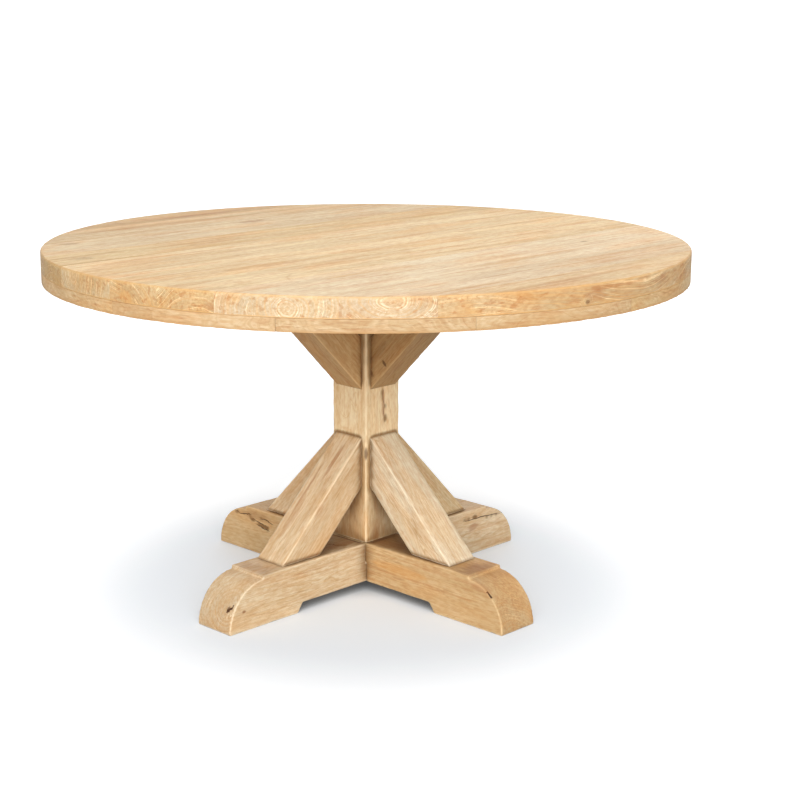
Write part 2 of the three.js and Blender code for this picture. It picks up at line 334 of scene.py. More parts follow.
    def noise(self, place: Socket, stretch: Triple, detail: float = 2.0, seed: Value = 0.0) -> Socket:
        """A noise that is stretched along the axes.

        Args:
            place: Where the noise is read.
            stretch: How many waves it has in a metre along each axis.
            detail: How many finer layers are on it.
            seed: Which of the many noises it is.

        Returns:
            Its value, about 0.5.
        """
        return self.noises(place, stretch, detail, seed).outputs[0]

    def noises(self, place: Socket, stretch: Triple, detail: float, seed: Value) -> bpy.types.Node:
        """The node of a stretched noise, for the three noises in its colour."""
        shift = self.scaled(self.SEED_STEP, seed)
        moved = self.vector("MULTIPLY_ADD", place, stretch, shift)
        return self.add("ShaderNodeTexNoise", {"Vector": moved, "Scale": 1.0, "Detail": detail})

    def finish_with(self, geometry: Socket) -> bpy.types.NodeTree:
        """Ends a geometry tree: makes instances real and gives them the material.

        Args:
            geometry: What the tree makes.

        Returns:
            The tree.
        """
        real = self.add("GeometryNodeRealizeInstances", {0: geometry}).outputs[0]
        dressed = self.add("GeometryNodeSetMaterial", {"Geometry": real, "Material": self.taken["Material"]})
        self.feed(self.given["Geometry"], dressed.outputs[0])
        return self.tree


# ---- Wood ----


@dataclass(frozen=True)
class Blemish:
    """A knot, a mineral streak or a stain, as a soft-edged ellipsoid that lies along the grain.

    Attributes:
        at: Its middle, in the frame.
        size: Its half lengths along the grain and across it, both ways.
        colour: What it turns the wood to.
        strength: How far.
        push: How many rings bend out round it.
    """

    at: Triple
    size: Triple
    colour: Triple
    strength: float = 0.7
    push: float = 0.0


@dataclass(frozen=True)
class Cut:
    """How a piece was sawn out of its log.

    Attributes:
        grain: The direction of the fibres.
        face: A direction across them, towards the face that shows most.
        pith: The log's middle, from the piece's own: how deep under that face, and how far to the side.
        along: Where on the log the piece lies. Any number gives the piece a figure of its own.
    """

    grain: Triple
    face: Triple
    pith: tuple[float, float]
    along: float

    def to_log(self, middle: Vector) -> tuple[Triple, Triple]:
        """Gives the Mapping that takes the frame's places to the log's, with its X along the fibres.

        Args:
            middle: The piece's middle.

        Returns:
            The Mapping node's location and rotation.
        """
        grain = Vector(self.grain).normalized()
        side = grain.cross(Vector(self.face)).normalized()
        turn = Matrix((grain, side, grain.cross(side)))
        depth, aside = self.pith
        location = Vector((self.along, -aside, -depth)) - turn @ middle
        return tuple(location), tuple(turn.to_euler())


def tinted(g: Graph, colour: Socket, share: Value, loss: Triple) -> Socket:
    """Takes light out of a colour.

    Args:
        g: The shader graph.
        colour: The colour.
        share: Where, from 0 to 1.
        loss: How much of its red, green and blue goes.

    Returns:
        The colour that is left.
    """
    left = g.vector("SUBTRACT", WHITE, g.scaled(loss, share))
    return g.mix(1.0, colour, left, "MULTIPLY")


class Figure(Enum):
    """The noises in the wood: waves in a metre along the fibres and across them, finer layers, seed."""

    SWAY = (1.5, 5.0, 2.0, 0.0)
    KINKS = (13.0, 34.0, 2.0, 1.0)
    BANDS = (1.3, 30.0, 3.0, 3.0)
    BLOTCHES = (2.6, 7.0, 2.0, 5.0)
    FIBRES = (16.0, 290.0, 2.0, 7.0)
    FLECKS = (34.0, 330.0, 1.0, 9.0)
    PORES = (120.0, 1300.0, 1.0, 11.0)
    PATCHES = (4.0, 20.0, 2.0, 13.0)
    MOTTLES = (60.0, 190.0, 4.0, 15.0)
    ARRIS_PATCHES = (14.0, 14.0, 2.0, 17.0)
    HONEY = (4.0, 14.0, 3.0, 19.0)
    STREAKS = (4.0, 110.0, 3.0, 21.0)
    CLOUDS = (9.0, 24.0, 4.0, 23.0)

    def node(self, g: Graph, place: Socket) -> bpy.types.Node:
        """Adds the noise's node."""
        along, across, detail, seed = self.value
        return g.noises(place, (along, across, across), detail, seed)

    def value_at(self, g: Graph, place: Socket) -> Socket:
        """The noise as a number, about 0.5."""
        return self.node(g, place).outputs[0]

    def offset_at(self, g: Graph, place: Socket) -> Socket:
        """The noise as a vector, about nothing."""
        return g.vector("SUBTRACT", self.node(g, place).outputs["Color"], (0.5, 0.5, 0.5))


class WoodGroups:
    """The node groups that every wooden piece shares.

    A constant that ends in LOSS says how much red, green and blue the wood loses where that mark is full.

    Attributes:
        SWAY_REACH: How much further the trunk wanders than the sway that a piece asks for.
        BUCKLE: How far the small kinks push the rings.
        DRIFT_RATE: How fast the width of the rings changes from one to the next.
        DRIFT: How many rings that change is worth.
        MOOD_RATE: How fast the strength of the late wood changes from one ring to the next.
        KNOT_WAVES: The waves in a metre of a blemish's ragged outline.
        KNOT_RAGGEDNESS: How ragged it is, as a share of its size.
    """

    SWAY_REACH = (2.5, 2.5, 2.5)
    BUCKLE = 0.007
    DRIFT_RATE = 0.33
    DRIFT = 2.2
    MOOD_RATE = 0.9
    BLOTCH_GAIN = 3.4
    BAND_GAIN = 4.5
    CLOUD_SHARE = 0.3
    PORE_SHARE = 0.25
    END_GRAIN_LOSS = (0.17, 0.18, 0.18)
    MOTTLE_LOSS = (0.08, 0.16, 0.24)
    FIBRE_LOSS = (0.04, 0.08, 0.12)
    HONEY_LOSS = (0.0, 0.1, 0.21)
    STREAK_LOSS = (0.14, 0.33, 0.46)
    # Painted shade in the places that the rest of the table shuts in.
    PAINTED_SHADE_LOSS = (0.58, 0.66, 0.74)
    CRACK = tone(0x4A2C17)
    ROUGHNESS = 0.5
    FIBRE_ROUGHNESS = 0.16
    RUBBED_ROUGHNESS = -0.08
    PORE_HEIGHT = -0.5
    LINE_HEIGHT = 0.35
    KNOT_WAVES = (30.0, 120.0, 120.0)
    KNOT_RAGGEDNESS = 1.2

    @classmethod
    def sawn(cls) -> bpy.types.NodeTree:
        """The figure of the wood: rings, bands, fibres, flecks and pores, the wear and painted light on its
        arrises, and painted shade where the table shuts it in.
        """
        return bpy.data.node_groups.get("sawn_wood") or cls._build_sawn()

    @classmethod
    def blemish(cls) -> bpy.types.NodeTree:
        """How far a place lies inside one blemish, and how far the rings bend round it."""
        return bpy.data.node_groups.get("blemish") or cls._build_blemish()

    @classmethod
    def _build_blemish(cls) -> bpy.types.NodeTree:
        """Builds the blemish group."""
        takes = inputs_of("Vector", "Place", "Middle", "Shares")
        g = Graph.group("blemish", "ShaderNodeTree", takes, inputs_of("Float", "Core", "Round"))
        away = g.vector("SUBTRACT", g.taken["Place"], g.taken["Middle"])
        ragged = g.noise(g.taken["Place"], cls.KNOT_WAVES, 3.0)
        reach = g.length(g.vector("MULTIPLY", away, g.taken["Shares"]))
        centred = g.minus(reach, cls.KNOT_RAGGEDNESS / 2)
        rough = g.times_plus(ragged, cls.KNOT_RAGGEDNESS, centred)
        g.feed(g.given["Core"], g.rise(rough, 1.1, 0.45))
        g.feed(g.given["Round"], g.rise(reach, 3.2, 0.0))
        return g.tree

    @classmethod
    def _build_sawn(cls) -> bpy.types.NodeTree:
        """Builds the wood's figure."""
        takes = inputs_of("Float", "Push", "Ring", "Sway", "Lines", "Bands", "Flecks")
        takes |= inputs_of("Float", "Arris", "End Grain", "Check", "Grime")
        takes |= inputs_of("Color", "Pale", "Rubbed", "Ground", "Warm", "Umber")
        takes |= {"Place": "Vector"}
        gives = {"Color": "Color", "Roughness": "Float", "Height": "Float"}
        g = Graph.group("sawn_wood", "ShaderNodeTree", takes, gives)
        place = g.taken["Place"]
        end_grain = g.taken["End Grain"]

        # The trunk sways and kinks along its length, which bends the rings.
        bend = g.scaled(Figure.SWAY.offset_at(g, place), g.taken["Sway"])
        buckle = g.scaled(Figure.KINKS.offset_at(g, place), cls.BUCKLE)
        swayed = g.vector("ADD", g.vector("MULTIPLY_ADD", bend, cls.SWAY_REACH, place), buckle)
        radius = g.length(g.vector("MULTIPLY", swayed, (0.0, 1.0, 1.0)))
        even = g.plus(g.over(radius, g.taken["Ring"]), g.taken["Push"])
        drift = g.add("ShaderNodeTexNoise", {"W": g.times(even, cls.DRIFT_RATE)}, noise_dimensions="1D")
        phase = g.times_plus(drift.outputs[0], cls.DRIFT, even)
        edge = g.maths("ABSOLUTE", g.times_plus(g.maths("FRACT", phase), 2.0, -1.0))
        line = g.rise(edge, 0.7, 0.96)
        late = g.rise(edge, 0.55, 0.1)
        lines = g.times(g.taken["Lines"], g.plus(end_grain, 1.0))
        year = g.add("ShaderNodeTexNoise", {"W": g.times(phase, cls.MOOD_RATE)}, noise_dimensions="1D")

        # Bands, flecks and pores run with the fibres.
        bands = Figure.BANDS.value_at(g, place)
        blotches = Figure.BLOTCHES.value_at(g, place)
        fibres = g.rise(Figure.FIBRES.value_at(g, place), 0.36, 0.64)
        flecks = g.rise(Figure.FLECKS.value_at(g, place), 0.56, 0.7)
        pores = Figure.PORES.value_at(g, place)
        patchy = g.rise(Figure.PATCHES.value_at(g, place), 0.38, 0.6)

        # The colour is laid from the ground up. End grain drinks the finish.
        uneven = g.times_plus(g.minus(blotches, 0.5), cls.BLOTCH_GAIN, 0.5)
        banded = g.times(g.minus(bands, 0.5), g.taken["Bands"])
        share = g.rise(g.times_plus(banded, cls.BAND_GAIN, uneven), 0.0, 1.0)
        colour = g.mix(share, g.taken["Ground"], g.taken["Pale"])
        colour = tinted(g, colour, end_grain, cls.END_GRAIN_LOSS)
        clouds = g.rise(Figure.CLOUDS.value_at(g, place), 0.55, 0.3)
        colour = g.mix(g.times(clouds, cls.CLOUD_SHARE), colour, g.taken["Warm"])
        old = g.times(late, g.rise(year.outputs[0], 0.35, 0.7))
        colour = g.mix(g.times(old, lines), colour, g.taken["Warm"])
        limed = g.times(g.times(line, patchy), lines)
        colour = g.mix(limed, colour, g.taken["Pale"])
        streaked = g.times(g.rise(bands, 0.42, 0.27), g.taken["Bands"])
        colour = g.mix(streaked, colour, g.taken["Warm"])
        flecked = g.times(flecks, g.times(patchy, g.taken["Flecks"]))
        colour = g.mix(flecked, colour, g.taken["Umber"])
        mottled = g.rise(Figure.MOTTLES.value_at(g, place), 0.62, 0.38)
        colour = tinted(g, colour, mottled, cls.MOTTLE_LOSS)
        colour = tinted(g, colour, g.minus(1.0, fibres), cls.FIBRE_LOSS)
        porous = g.times(g.rise(pores, 0.6, 0.75), cls.PORE_SHARE)
        colour = g.mix(porous, colour, g.taken["Umber"])

        # Honey-coloured clouds and reddish-brown streaks lie across all of it.
        honey = g.rise(Figure.HONEY.value_at(g, place), 0.45, 0.65)
        colour = tinted(g, colour, honey, cls.HONEY_LOSS)
        stained = g.rise(Figure.STREAKS.value_at(g, place), 0.54, 0.66)
        colour = tinted(g, colour, g.times(stained, g.taken["Bands"]), cls.STREAK_LOSS)

        # Painted shade darkens the places that the table shuts in, the arrises take their wear with painted
        # light on it, and cracks are dark.
        colour = tinted(g, colour, g.rise(g.taken["Grime"], 0.12, 0.52), cls.PAINTED_SHADE_LOSS)
        patches = g.rise(Figure.ARRIS_PATCHES.value_at(g, place), 0.2, 0.6)
        # Arris colour: rubbed wear, with a painted highlight where it is paler than the wood and painted
        # shade where it is darker.
        colour = g.mix(g.times(g.taken["Arris"], patches), colour, g.taken["Rubbed"])
        colour = g.mix(g.taken["Check"], colour, cls.CRACK)
        g.feed(g.given["Color"], colour)

        rough = g.times_plus(fibres, cls.FIBRE_ROUGHNESS, cls.ROUGHNESS)
        g.feed(g.given["Roughness"], g.times_plus(g.taken["Arris"], cls.RUBBED_ROUGHNESS, rough))
        height = g.times_plus(pores, cls.PORE_HEIGHT, fibres)
        g.feed(g.given["Height"], g.times_plus(line, cls.LINE_HEIGHT, height))
        return g.tree


@dataclass(frozen=True)
class WoodFinish:
    """A limed and sealed hardwood.

    Attributes:
        ground: The wood's own colour, as a display colour.
        ring: The width of a year's ring.
        sway: How far the log's rings wander.
        lines: How strongly the rings show.
        bands: How strongly the bands along the grain show.
        flecks: How strongly the flecks show.
        relief: How deep the grain stands in the surface.
        rubbed: The red, green and blue of its arrises, as shares of its own: rubbed wear, with a painted
            highlight where they are paler than the wood and painted shade where they are darker.
        BRIGHTEST: The most light that wood gives back.
        PALE: The limed wood, in the same way as the arrises' colour.
        WARM: The late wood.
        UMBER: The flecks and pores.
        SHEEN: The sealer's gloss.
        BUMP: The bump's strength.
        MARKS: The piece's own attribute behind each mark of the figure.
    """

    ground: int = 0xE2C59A
    ring: float = 0.008
    sway: float = 0.03
    lines: float = 0.5
    bands: float = 0.5
    flecks: float = 0.4
    relief: float = 0.0004
    rubbed: Triple = (1.24, 1.28, 1.36)

    BRIGHTEST = 0.95
    PALE = (1.13, 1.17, 1.24)
    WARM = (0.86, 0.73, 0.58)
    UMBER = (0.6, 0.4, 0.25)
    SHEEN = 0.35
    BUMP = 0.8
    MARKS = {"Arris": "arris", "End Grain": "end_grain", "Check": "check", "Grime": "grime"}

    def _shade(self, shares: Triple) -> Triple:
        """The ground colour with its red, green and blue scaled, but no brighter than wood can be."""
        scaled = [c * s for c, s in zip(tone(self.ground), shares)]
        return tuple(c * min(1.0, self.BRIGHTEST / max(scaled)) for c in scaled)

    def material(
        self, name: str, cut: Cut, middle: Vector, blemishes: Iterable[Blemish] = ()
    ) -> bpy.types.Material:
        """Makes this wood for one piece, cut its own way.

        Args:
            name: The piece's name.
            cut: How the piece was sawn.
            middle: The piece's middle.
            blemishes: The knots and streaks on it.

        Returns:
            The material, which reads the piece's own coordinates and attributes.
        """
        material = bpy.data.materials.new(f"{name}_wood")
        g = Graph.of(material)
        location, rotation = cut.to_log(middle)
        source = g.add("ShaderNodeTexCoord").outputs["Object"]
        mapping = {"Vector": source, "Location": location, "Rotation": rotation}
        place = g.add("ShaderNodeMapping", mapping).outputs[0]
        figure = g.add("ShaderNodeGroup", node_tree=WoodGroups.sawn())
        for label, attribute in self.MARKS.items():
            mark = g.add("ShaderNodeAttribute", attribute_name=attribute)
            g.feed(figure.inputs[label], mark.outputs["Fac"])
        own = {"Place": place, "Ring": self.ring, "Sway": self.sway, "Lines": self.lines}
        own |= {"Bands": self.bands, "Flecks": self.flecks, "Ground": tone(self.ground)}
        own |= {"Pale": self._shade(self.PALE), "Warm": self._shade(self.WARM)}
        own |= {"Umber": self._shade(self.UMBER), "Rubbed": self._shade(self.rubbed)}
        for label, value in own.items():
            g.feed(figure.inputs[label], value)
        colour = figure.outputs["Color"]
        pushed: Value = 0.0
        turn = Euler(rotation).to_matrix()
        for blemish in blemishes:
            spot = g.add("ShaderNodeGroup", node_tree=WoodGroups.blemish())
            g.feed(spot.inputs["Place"], place)
            g.feed(spot.inputs["Middle"], tuple(turn @ Vector(blemish.at) + Vector(location)))
            g.feed(spot.inputs["Shares"], tuple(1.0 / half for half in blemish.size))
            dyed = g.times(spot.outputs["Core"], blemish.strength)
            colour = g.mix(dyed, colour, blemish.colour)
            pushed = g.times_plus(spot.outputs["Round"], blemish.push, pushed)
        g.feed(figure.inputs["Push"], pushed)
        bump = {"Height": figure.outputs["Height"], "Distance": self.relief, "Strength": self.BUMP}
        surface = {
            "Base Color": colour,
            "Roughness": figure.outputs["Roughness"],
            "Normal": g.add("ShaderNodeBump", bump).outputs[0],
            "Specular IOR Level": self.SHEEN,
        }
        shader = g.add("ShaderNodeBsdfPrincipled", surface)
        g.add("ShaderNodeOutputMaterial", {"Surface": shader.outputs[0]})
        return material


@dataclass(frozen=True)
class SteelFinish:
    """Zinc-plated steel with a dull, crystalline bloom and fine scratches.

    Attributes:
        bright: The plating's colour.
        dull: The bloom's.
    """

    bright: int = 0xC8C9C6
    dull: int = 0x8E8F8C

    BLOOM_WAVES = (320.0, 320.0, 320.0)
    SCRATCH_WAVES = (1800.0, 1800.0, 160.0)
    SCRATCH_DEPTH = 0.0001
    SCRATCH_STRENGTH = 0.5
    ROUGHNESS = 0.28
    BLOOM_ROUGHNESS = 0.25

    def material(self, name: str) -> bpy.types.Material:
        """Makes the material.

        Args:
            name: The material's name.

        Returns:
            The material, which reads the piece's own coordinates.
        """
        material = bpy.data.materials.new(name)
        g = Graph.of(material)
        place = g.add("ShaderNodeTexCoord").outputs["Object"]
        bloom = g.rise(g.noise(place, self.BLOOM_WAVES, 4.0), 0.35, 0.7)
        scratches = g.noise(place, self.SCRATCH_WAVES, 2.0, 2.0)
        relief = {"Height": scratches, "Distance": self.SCRATCH_DEPTH, "Strength": self.SCRATCH_STRENGTH}
        bump = g.add("ShaderNodeBump", relief)
        surface = {
            "Base Color": g.mix(bloom, tone(self.bright), tone(self.dull)),
            "Metallic": 1.0,
            "Roughness": g.times_plus(bloom, self.BLOOM_ROUGHNESS, self.ROUGHNESS),
            "Normal": bump.outputs[0],
        }
        shader = g.add("ShaderNodeBsdfPrincipled", surface)
        g.add("ShaderNodeOutputMaterial", {"Surface": shader.outputs[0]})
        return material


# ---- Meshes ----


def corners_of(node: str) -> Box:
    """The lowest and highest corners of a CAD node."""
    low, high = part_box(node)
    return Vector(low), Vector(high)


def middle_of(node: str) -> Vector:
    """The middle of a CAD node's box."""
    low, high = corners_of(node)
    return (low + high) / 2


def own_object(name: str, mesh: bpy.types.Mesh) -> bpy.types.Object:
    """Puts a mesh into the scene as an object at the origin."""
    piece = bpy.data.objects.new(name, mesh)
    bpy.context.scene.collection.objects.link(piece)
    return piece


def apply_modifiers(piece: bpy.types.Object) -> None:
    """Makes what a piece's modifiers give its own plain mesh, and takes them off it."""
    graph = bpy.context.evaluated_depsgraph_get()
    shaped = piece.evaluated_get(graph)
    plain = bpy.data.meshes.new_from_object(shaped, preserve_all_data_layers=True, depsgraph=graph)
    plain.name = piece.name
    piece.modifiers.clear()
    piece.data = plain


def shape_with(
    piece: bpy.types.Object,
    tree: bpy.types.NodeTree,
    sizes: dict[str, Value],
    smooth_under: float | None = None,
) -> None:
    """Runs a Geometry Nodes tree on a piece.

    Args:
        piece: The piece. Its mesh becomes what the tree makes.
        tree: The tree.
        sizes: The value of each of its inputs, by name.
        smooth_under: The angle between faces over which an edge is sharp. None leaves the shading.
    """
    modifier = piece.modifiers.new("shape", "NODES")
    modifier.node_group = tree
    for item in tree.interface.items_tree:
        if item.in_out == "INPUT" and item.name in sizes:
            modifier[item.identifier] = sizes[item.name]
    apply_modifiers(piece)
    if smooth_under is not None:
        piece.data.set_sharp_from_angle(angle=smooth_under)


def hand_over(piece: bpy.types.Object, slot: Slot, *nodes: str) -> None:
    """Parents a finished piece to the root body, hides the CAD nodes that it stands for and logs it.

    Args:
        piece: The piece.
        slot: The record's material slot that its finish belongs to. It is not used.
        *nodes: The CAD nodes that it stands for.
    """
    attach(piece, ROOT)
    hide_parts(*nodes)
    log.info("%s: %d faces for %s", piece.name, len(piece.data.polygons), ", ".join(nodes))


def closed_mesh(
    name: str, corners: Iterable[Sequence[float]], faces: Iterable[Sequence[int]]
) -> bpy.types.Mesh:
    """Makes a closed mesh with its faces turned outwards.

    Args:
        name: The mesh's name.
        corners: Its vertices.
        faces: Its faces, as numbers of vertices.

    Returns:
        The mesh.
    """
    mesh = bpy.data.meshes.new(name)
    mesh.from_pydata([tuple(c) for c in corners], [], [tuple(f) for f in faces])
    work = bmesh.new()
    work.from_mesh(mesh)
    bmesh.ops.recalc_face_normals(work, faces=work.faces)
    if work.calc_volume(signed=True) < 0:
        bmesh.ops.reverse_faces(work, faces=work.faces)
    work.to_mesh(mesh)
    work.free()
    return mesh


def cut_out(piece: bpy.types.Object, tools: Sequence[bpy.types.Mesh]) -> None:
    """Cuts solids out of a piece.

    Args:
        piece: The piece.
        tools: The solids, clear of each other.
    """
    work = bmesh.new()
    for tool in tools:
        work.from_mesh(tool)
    joined = bpy.data.meshes.new("cutter")
    work.to_mesh(joined)
    work.free()
    cutter = own_object("cutter", joined)
    boolean = piece.modifiers.new("cut", "BOOLEAN")
    boolean.operation = "DIFFERENCE"
    boolean.solver = "EXACT"
    boolean.object = cutter
    apply_modifiers(piece)
    bpy.data.objects.remove(cutter)


def numbers_of(items: bpy.types.bpy_prop_collection, name: str, width: int) -> np.ndarray:
    """Reads a property of all of a mesh's vertices or faces, one to a row."""
    values = np.empty(len(items) * width)
    items.foreach_get(name, values)
    return values.reshape(-1, width)


def nearness(points: np.ndarray, lines: np.ndarray) -> np.ndarray:
    """Measures how far points are from the nearest of some straight lines.

    Args:
        points: The points, one to a row.
        lines: The two ends of each line.

    Returns:
        Each point's distance.
    """
    nearest = np.full(len(points), np.inf)
    for start, end in lines:
        along = end - start
        share = np.clip((points - start) @ along / (along @ along), 0.0, 1.0)
        away = points - start - share[:, None] * along
        nearest = np.minimum(nearest, np.sqrt((away * away).sum(axis=1)))
    return nearest


def write_attribute(mesh: bpy.types.Mesh, name: str, domain: str, values: np.ndarray) -> None:
    """Stores a number for each vertex or face.

    Args:
        mesh: The mesh.
        name: The attribute's name.
        domain: POINT or FACE.
        values: The numbers.
    """
    if name in mesh.attributes:
        mesh.attributes.remove(mesh.attributes[name])
    made = mesh.attributes.new(name, "FLOAT", domain)
    made.data.foreach_set("value", values.astype(np.float32))


def mark_end_grain(mesh: bpy.types.Mesh, grain: Triple, upright: float = 0.0) -> None:
    """Stores how squarely each face cuts the fibres.

    Args:
        mesh: The mesh.
        grain: The direction of the fibres.
        upright: The least that an upright face gets, so that every upright face is darker, whatever its
            grain.
    """
    slant, squareness, lying = 0.4, 0.5, 1.5
    normals = numbers_of(mesh.polygons, "normal", 3)
    across = np.abs(normals @ np.array(Vector(grain).normalized()))
    facing = np.clip((across - slant) / squareness, 0.0, 1.0)
    least = upright * np.clip(1.0 - lying * np.abs(normals[:, 2]), 0.0, 1.0)
    write_attribute(mesh, "end_grain", "FACE", np.maximum(facing, least))


class Corners:
    """Painted shade: how far the rest of the table shuts each place in, which darkens the wood's colour
    there.

    Attributes:
        REACH: How far off something still shuts a place in.
        LIFT: How far above the surface the rays start.
        CELL: The size of the cells that share one reading.
        RAYS: How many rays each reading takes.
        BLURS: How many times the readings are blurred.
    """

    REACH = 0.2
    LIFT = 0.004
    CELL = 0.008
    RAYS = 20
    BLURS = 6

    def __init__(self) -> None:
        """Gathers the CAD nodes into one tree that rays are cast at."""
        places, faces = [], []
        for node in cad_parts.values():
            start = len(places)
            places.extend(vertex.co.copy() for vertex in node.data.vertices)
            faces.extend(tuple(start + k for k in face.vertices) for face in node.data.polygons)
        self.solids = BVHTree.FromPolygons(places, faces)
        turns = [k * math.pi * (3.0 - math.sqrt(5.0)) for k in range(self.RAYS)]
        heights = [math.sqrt((k + 0.5) / self.RAYS) for k in range(self.RAYS)]
        spreads = [math.sqrt(1.0 - height * height) for height in heights]
        self.fan = [
            Vector((spread * math.cos(turn), spread * math.sin(turn), height))
            for turn, height, spread in zip(turns, heights, spreads)
        ]

    def _shut_in(self, place: Vector, normal: Vector) -> float:
        """The share of the sky over a place that something near hides."""
        turn = normal.to_track_quat("Z", "Y")
        start = place + normal * self.LIFT
        hidden = 0.0
        for way in self.fan:
            _, _, _, distance = self.solids.ray_cast(start, turn @ way, self.REACH)
            if distance is not None:
                hidden += 1.0 - distance / self.REACH
        return hidden / self.RAYS

    def mark(self, mesh: bpy.types.Mesh) -> None:
        """Stores the painted shade of each vertex, worked out in small cells and blurred over them."""
        places, normals = numbers_of(mesh.vertices, "co", 3), numbers_of(mesh.vertices, "normal", 3)
        keys = np.concatenate([np.round(places / self.CELL), np.round(normals)], axis=1)
        _, first, cells = np.unique(keys, axis=0, return_index=True, return_inverse=True)
        shut = np.array([self._shut_in(Vector(places[k]), Vector(normals[k])) for k in first])
        values = shut[cells.ravel()]
        ends = np.empty(len(mesh.edges) * 2, dtype=np.int32)
        mesh.edges.foreach_get("vertices", ends)
        near, far = ends.reshape(-1, 2).T
        count = len(values)
        neighbours = np.bincount(near, minlength=count) + np.bincount(far, minlength=count)
        for _ in range(self.BLURS):
            around = np.bincount(near, values[far], count) + np.bincount(far, values[near], count)
            values = (values + around) / (1 + neighbours)
        write_attribute(mesh, "grime", "POINT", values)


@dataclass(frozen=True)
class Crack:
    """A drying crack, which opens a face along the grain.

    Attributes:
        start: One end, on the face.
        end: The other end.
        into: The way into the wood, with the crack's depth as its length.
        width: Its width at the widest.
        seed: Its own wander.
        STATIONS: How many points run along it.
        WANDER: How far it wanders from one point to the next.
        OUTSIDE: How far the tool that cuts it stands out of the face.
        DARK_FROM: How deep under the face its dark colour starts.
        POINT: How blunt its ends are.
        FULLNESS: How soon it opens. It opens sooner where this is smaller.
    """

    start: Triple
    end: Triple
    into: Triple
    width: float
    seed: int = 0

    STATIONS = 14
    WANDER = 0.0011
    OUTSIDE = 0.002
    DARK_FROM = 0.0009
    POINT = 0.03
    FULLNESS = 0.7

    def _path(self) -> tuple[np.ndarray, np.ndarray, np.ndarray]:
        """The crack's wandering line on the face, the way into the wood, and the way across."""
        start, end, into = (np.array(v) for v in (self.start, self.end, self.into))
        side = np.cross(end - start, into)
        side /= np.linalg.norm(side)
        steps = np.linspace(0.0, 1.0, self.STATIONS)
        walk = np.cumsum(np.random.default_rng(self.seed).normal(0.0, self.WANDER, self.STATIONS))
        walk -= np.linspace(walk[0], walk[-1], self.STATIONS)
        return start + steps[:, None] * (end - start) + walk[:, None] * side, into, side

    def tool(self) -> bpy.types.Mesh:
        """The wedge that cuts the crack, pointed at both ends."""
        path, into, side = self._path()
        outside = into / np.linalg.norm(into) * self.OUTSIDE
        ripple = np.random.default_rng(self.seed + 1).uniform(0.6, 1.0, self.STATIONS)
        bow = np.sin(np.linspace(self.POINT, math.pi - self.POINT, self.STATIONS))
        swell = (bow**self.FULLNESS * ripple)[:, None]
        half = swell * side * self.width / 2
        corners = np.concatenate([path - outside + half, path - outside - half, path + into * swell])
        count = self.STATIONS
        faces = [(0, count, 2 * count), (count - 1, 2 * count - 1, 3 * count - 1)]
        for k in range(count - 1):
            for first, second in ((0, count), (count, 2 * count), (2 * count, 0)):
                faces.append((first + k, first + k + 1, second + k + 1, second + k))
        return closed_mesh("crack", corners, faces)

    def inside(self, places: np.ndarray) -> np.ndarray:
        """Tells which places lie in the crack, below the face."""
        path, into, _ = self._path()
        depth = (places - path[0]) @ (into / np.linalg.norm(into))
        surfaced = places - depth[:, None] * into / np.linalg.norm(into)
        near = nearness(surfaced, np.stack([path[:-1], path[1:]], axis=1))
        return (depth > self.DARK_FROM) & (depth < np.linalg.norm(into)) & (near < self.width)


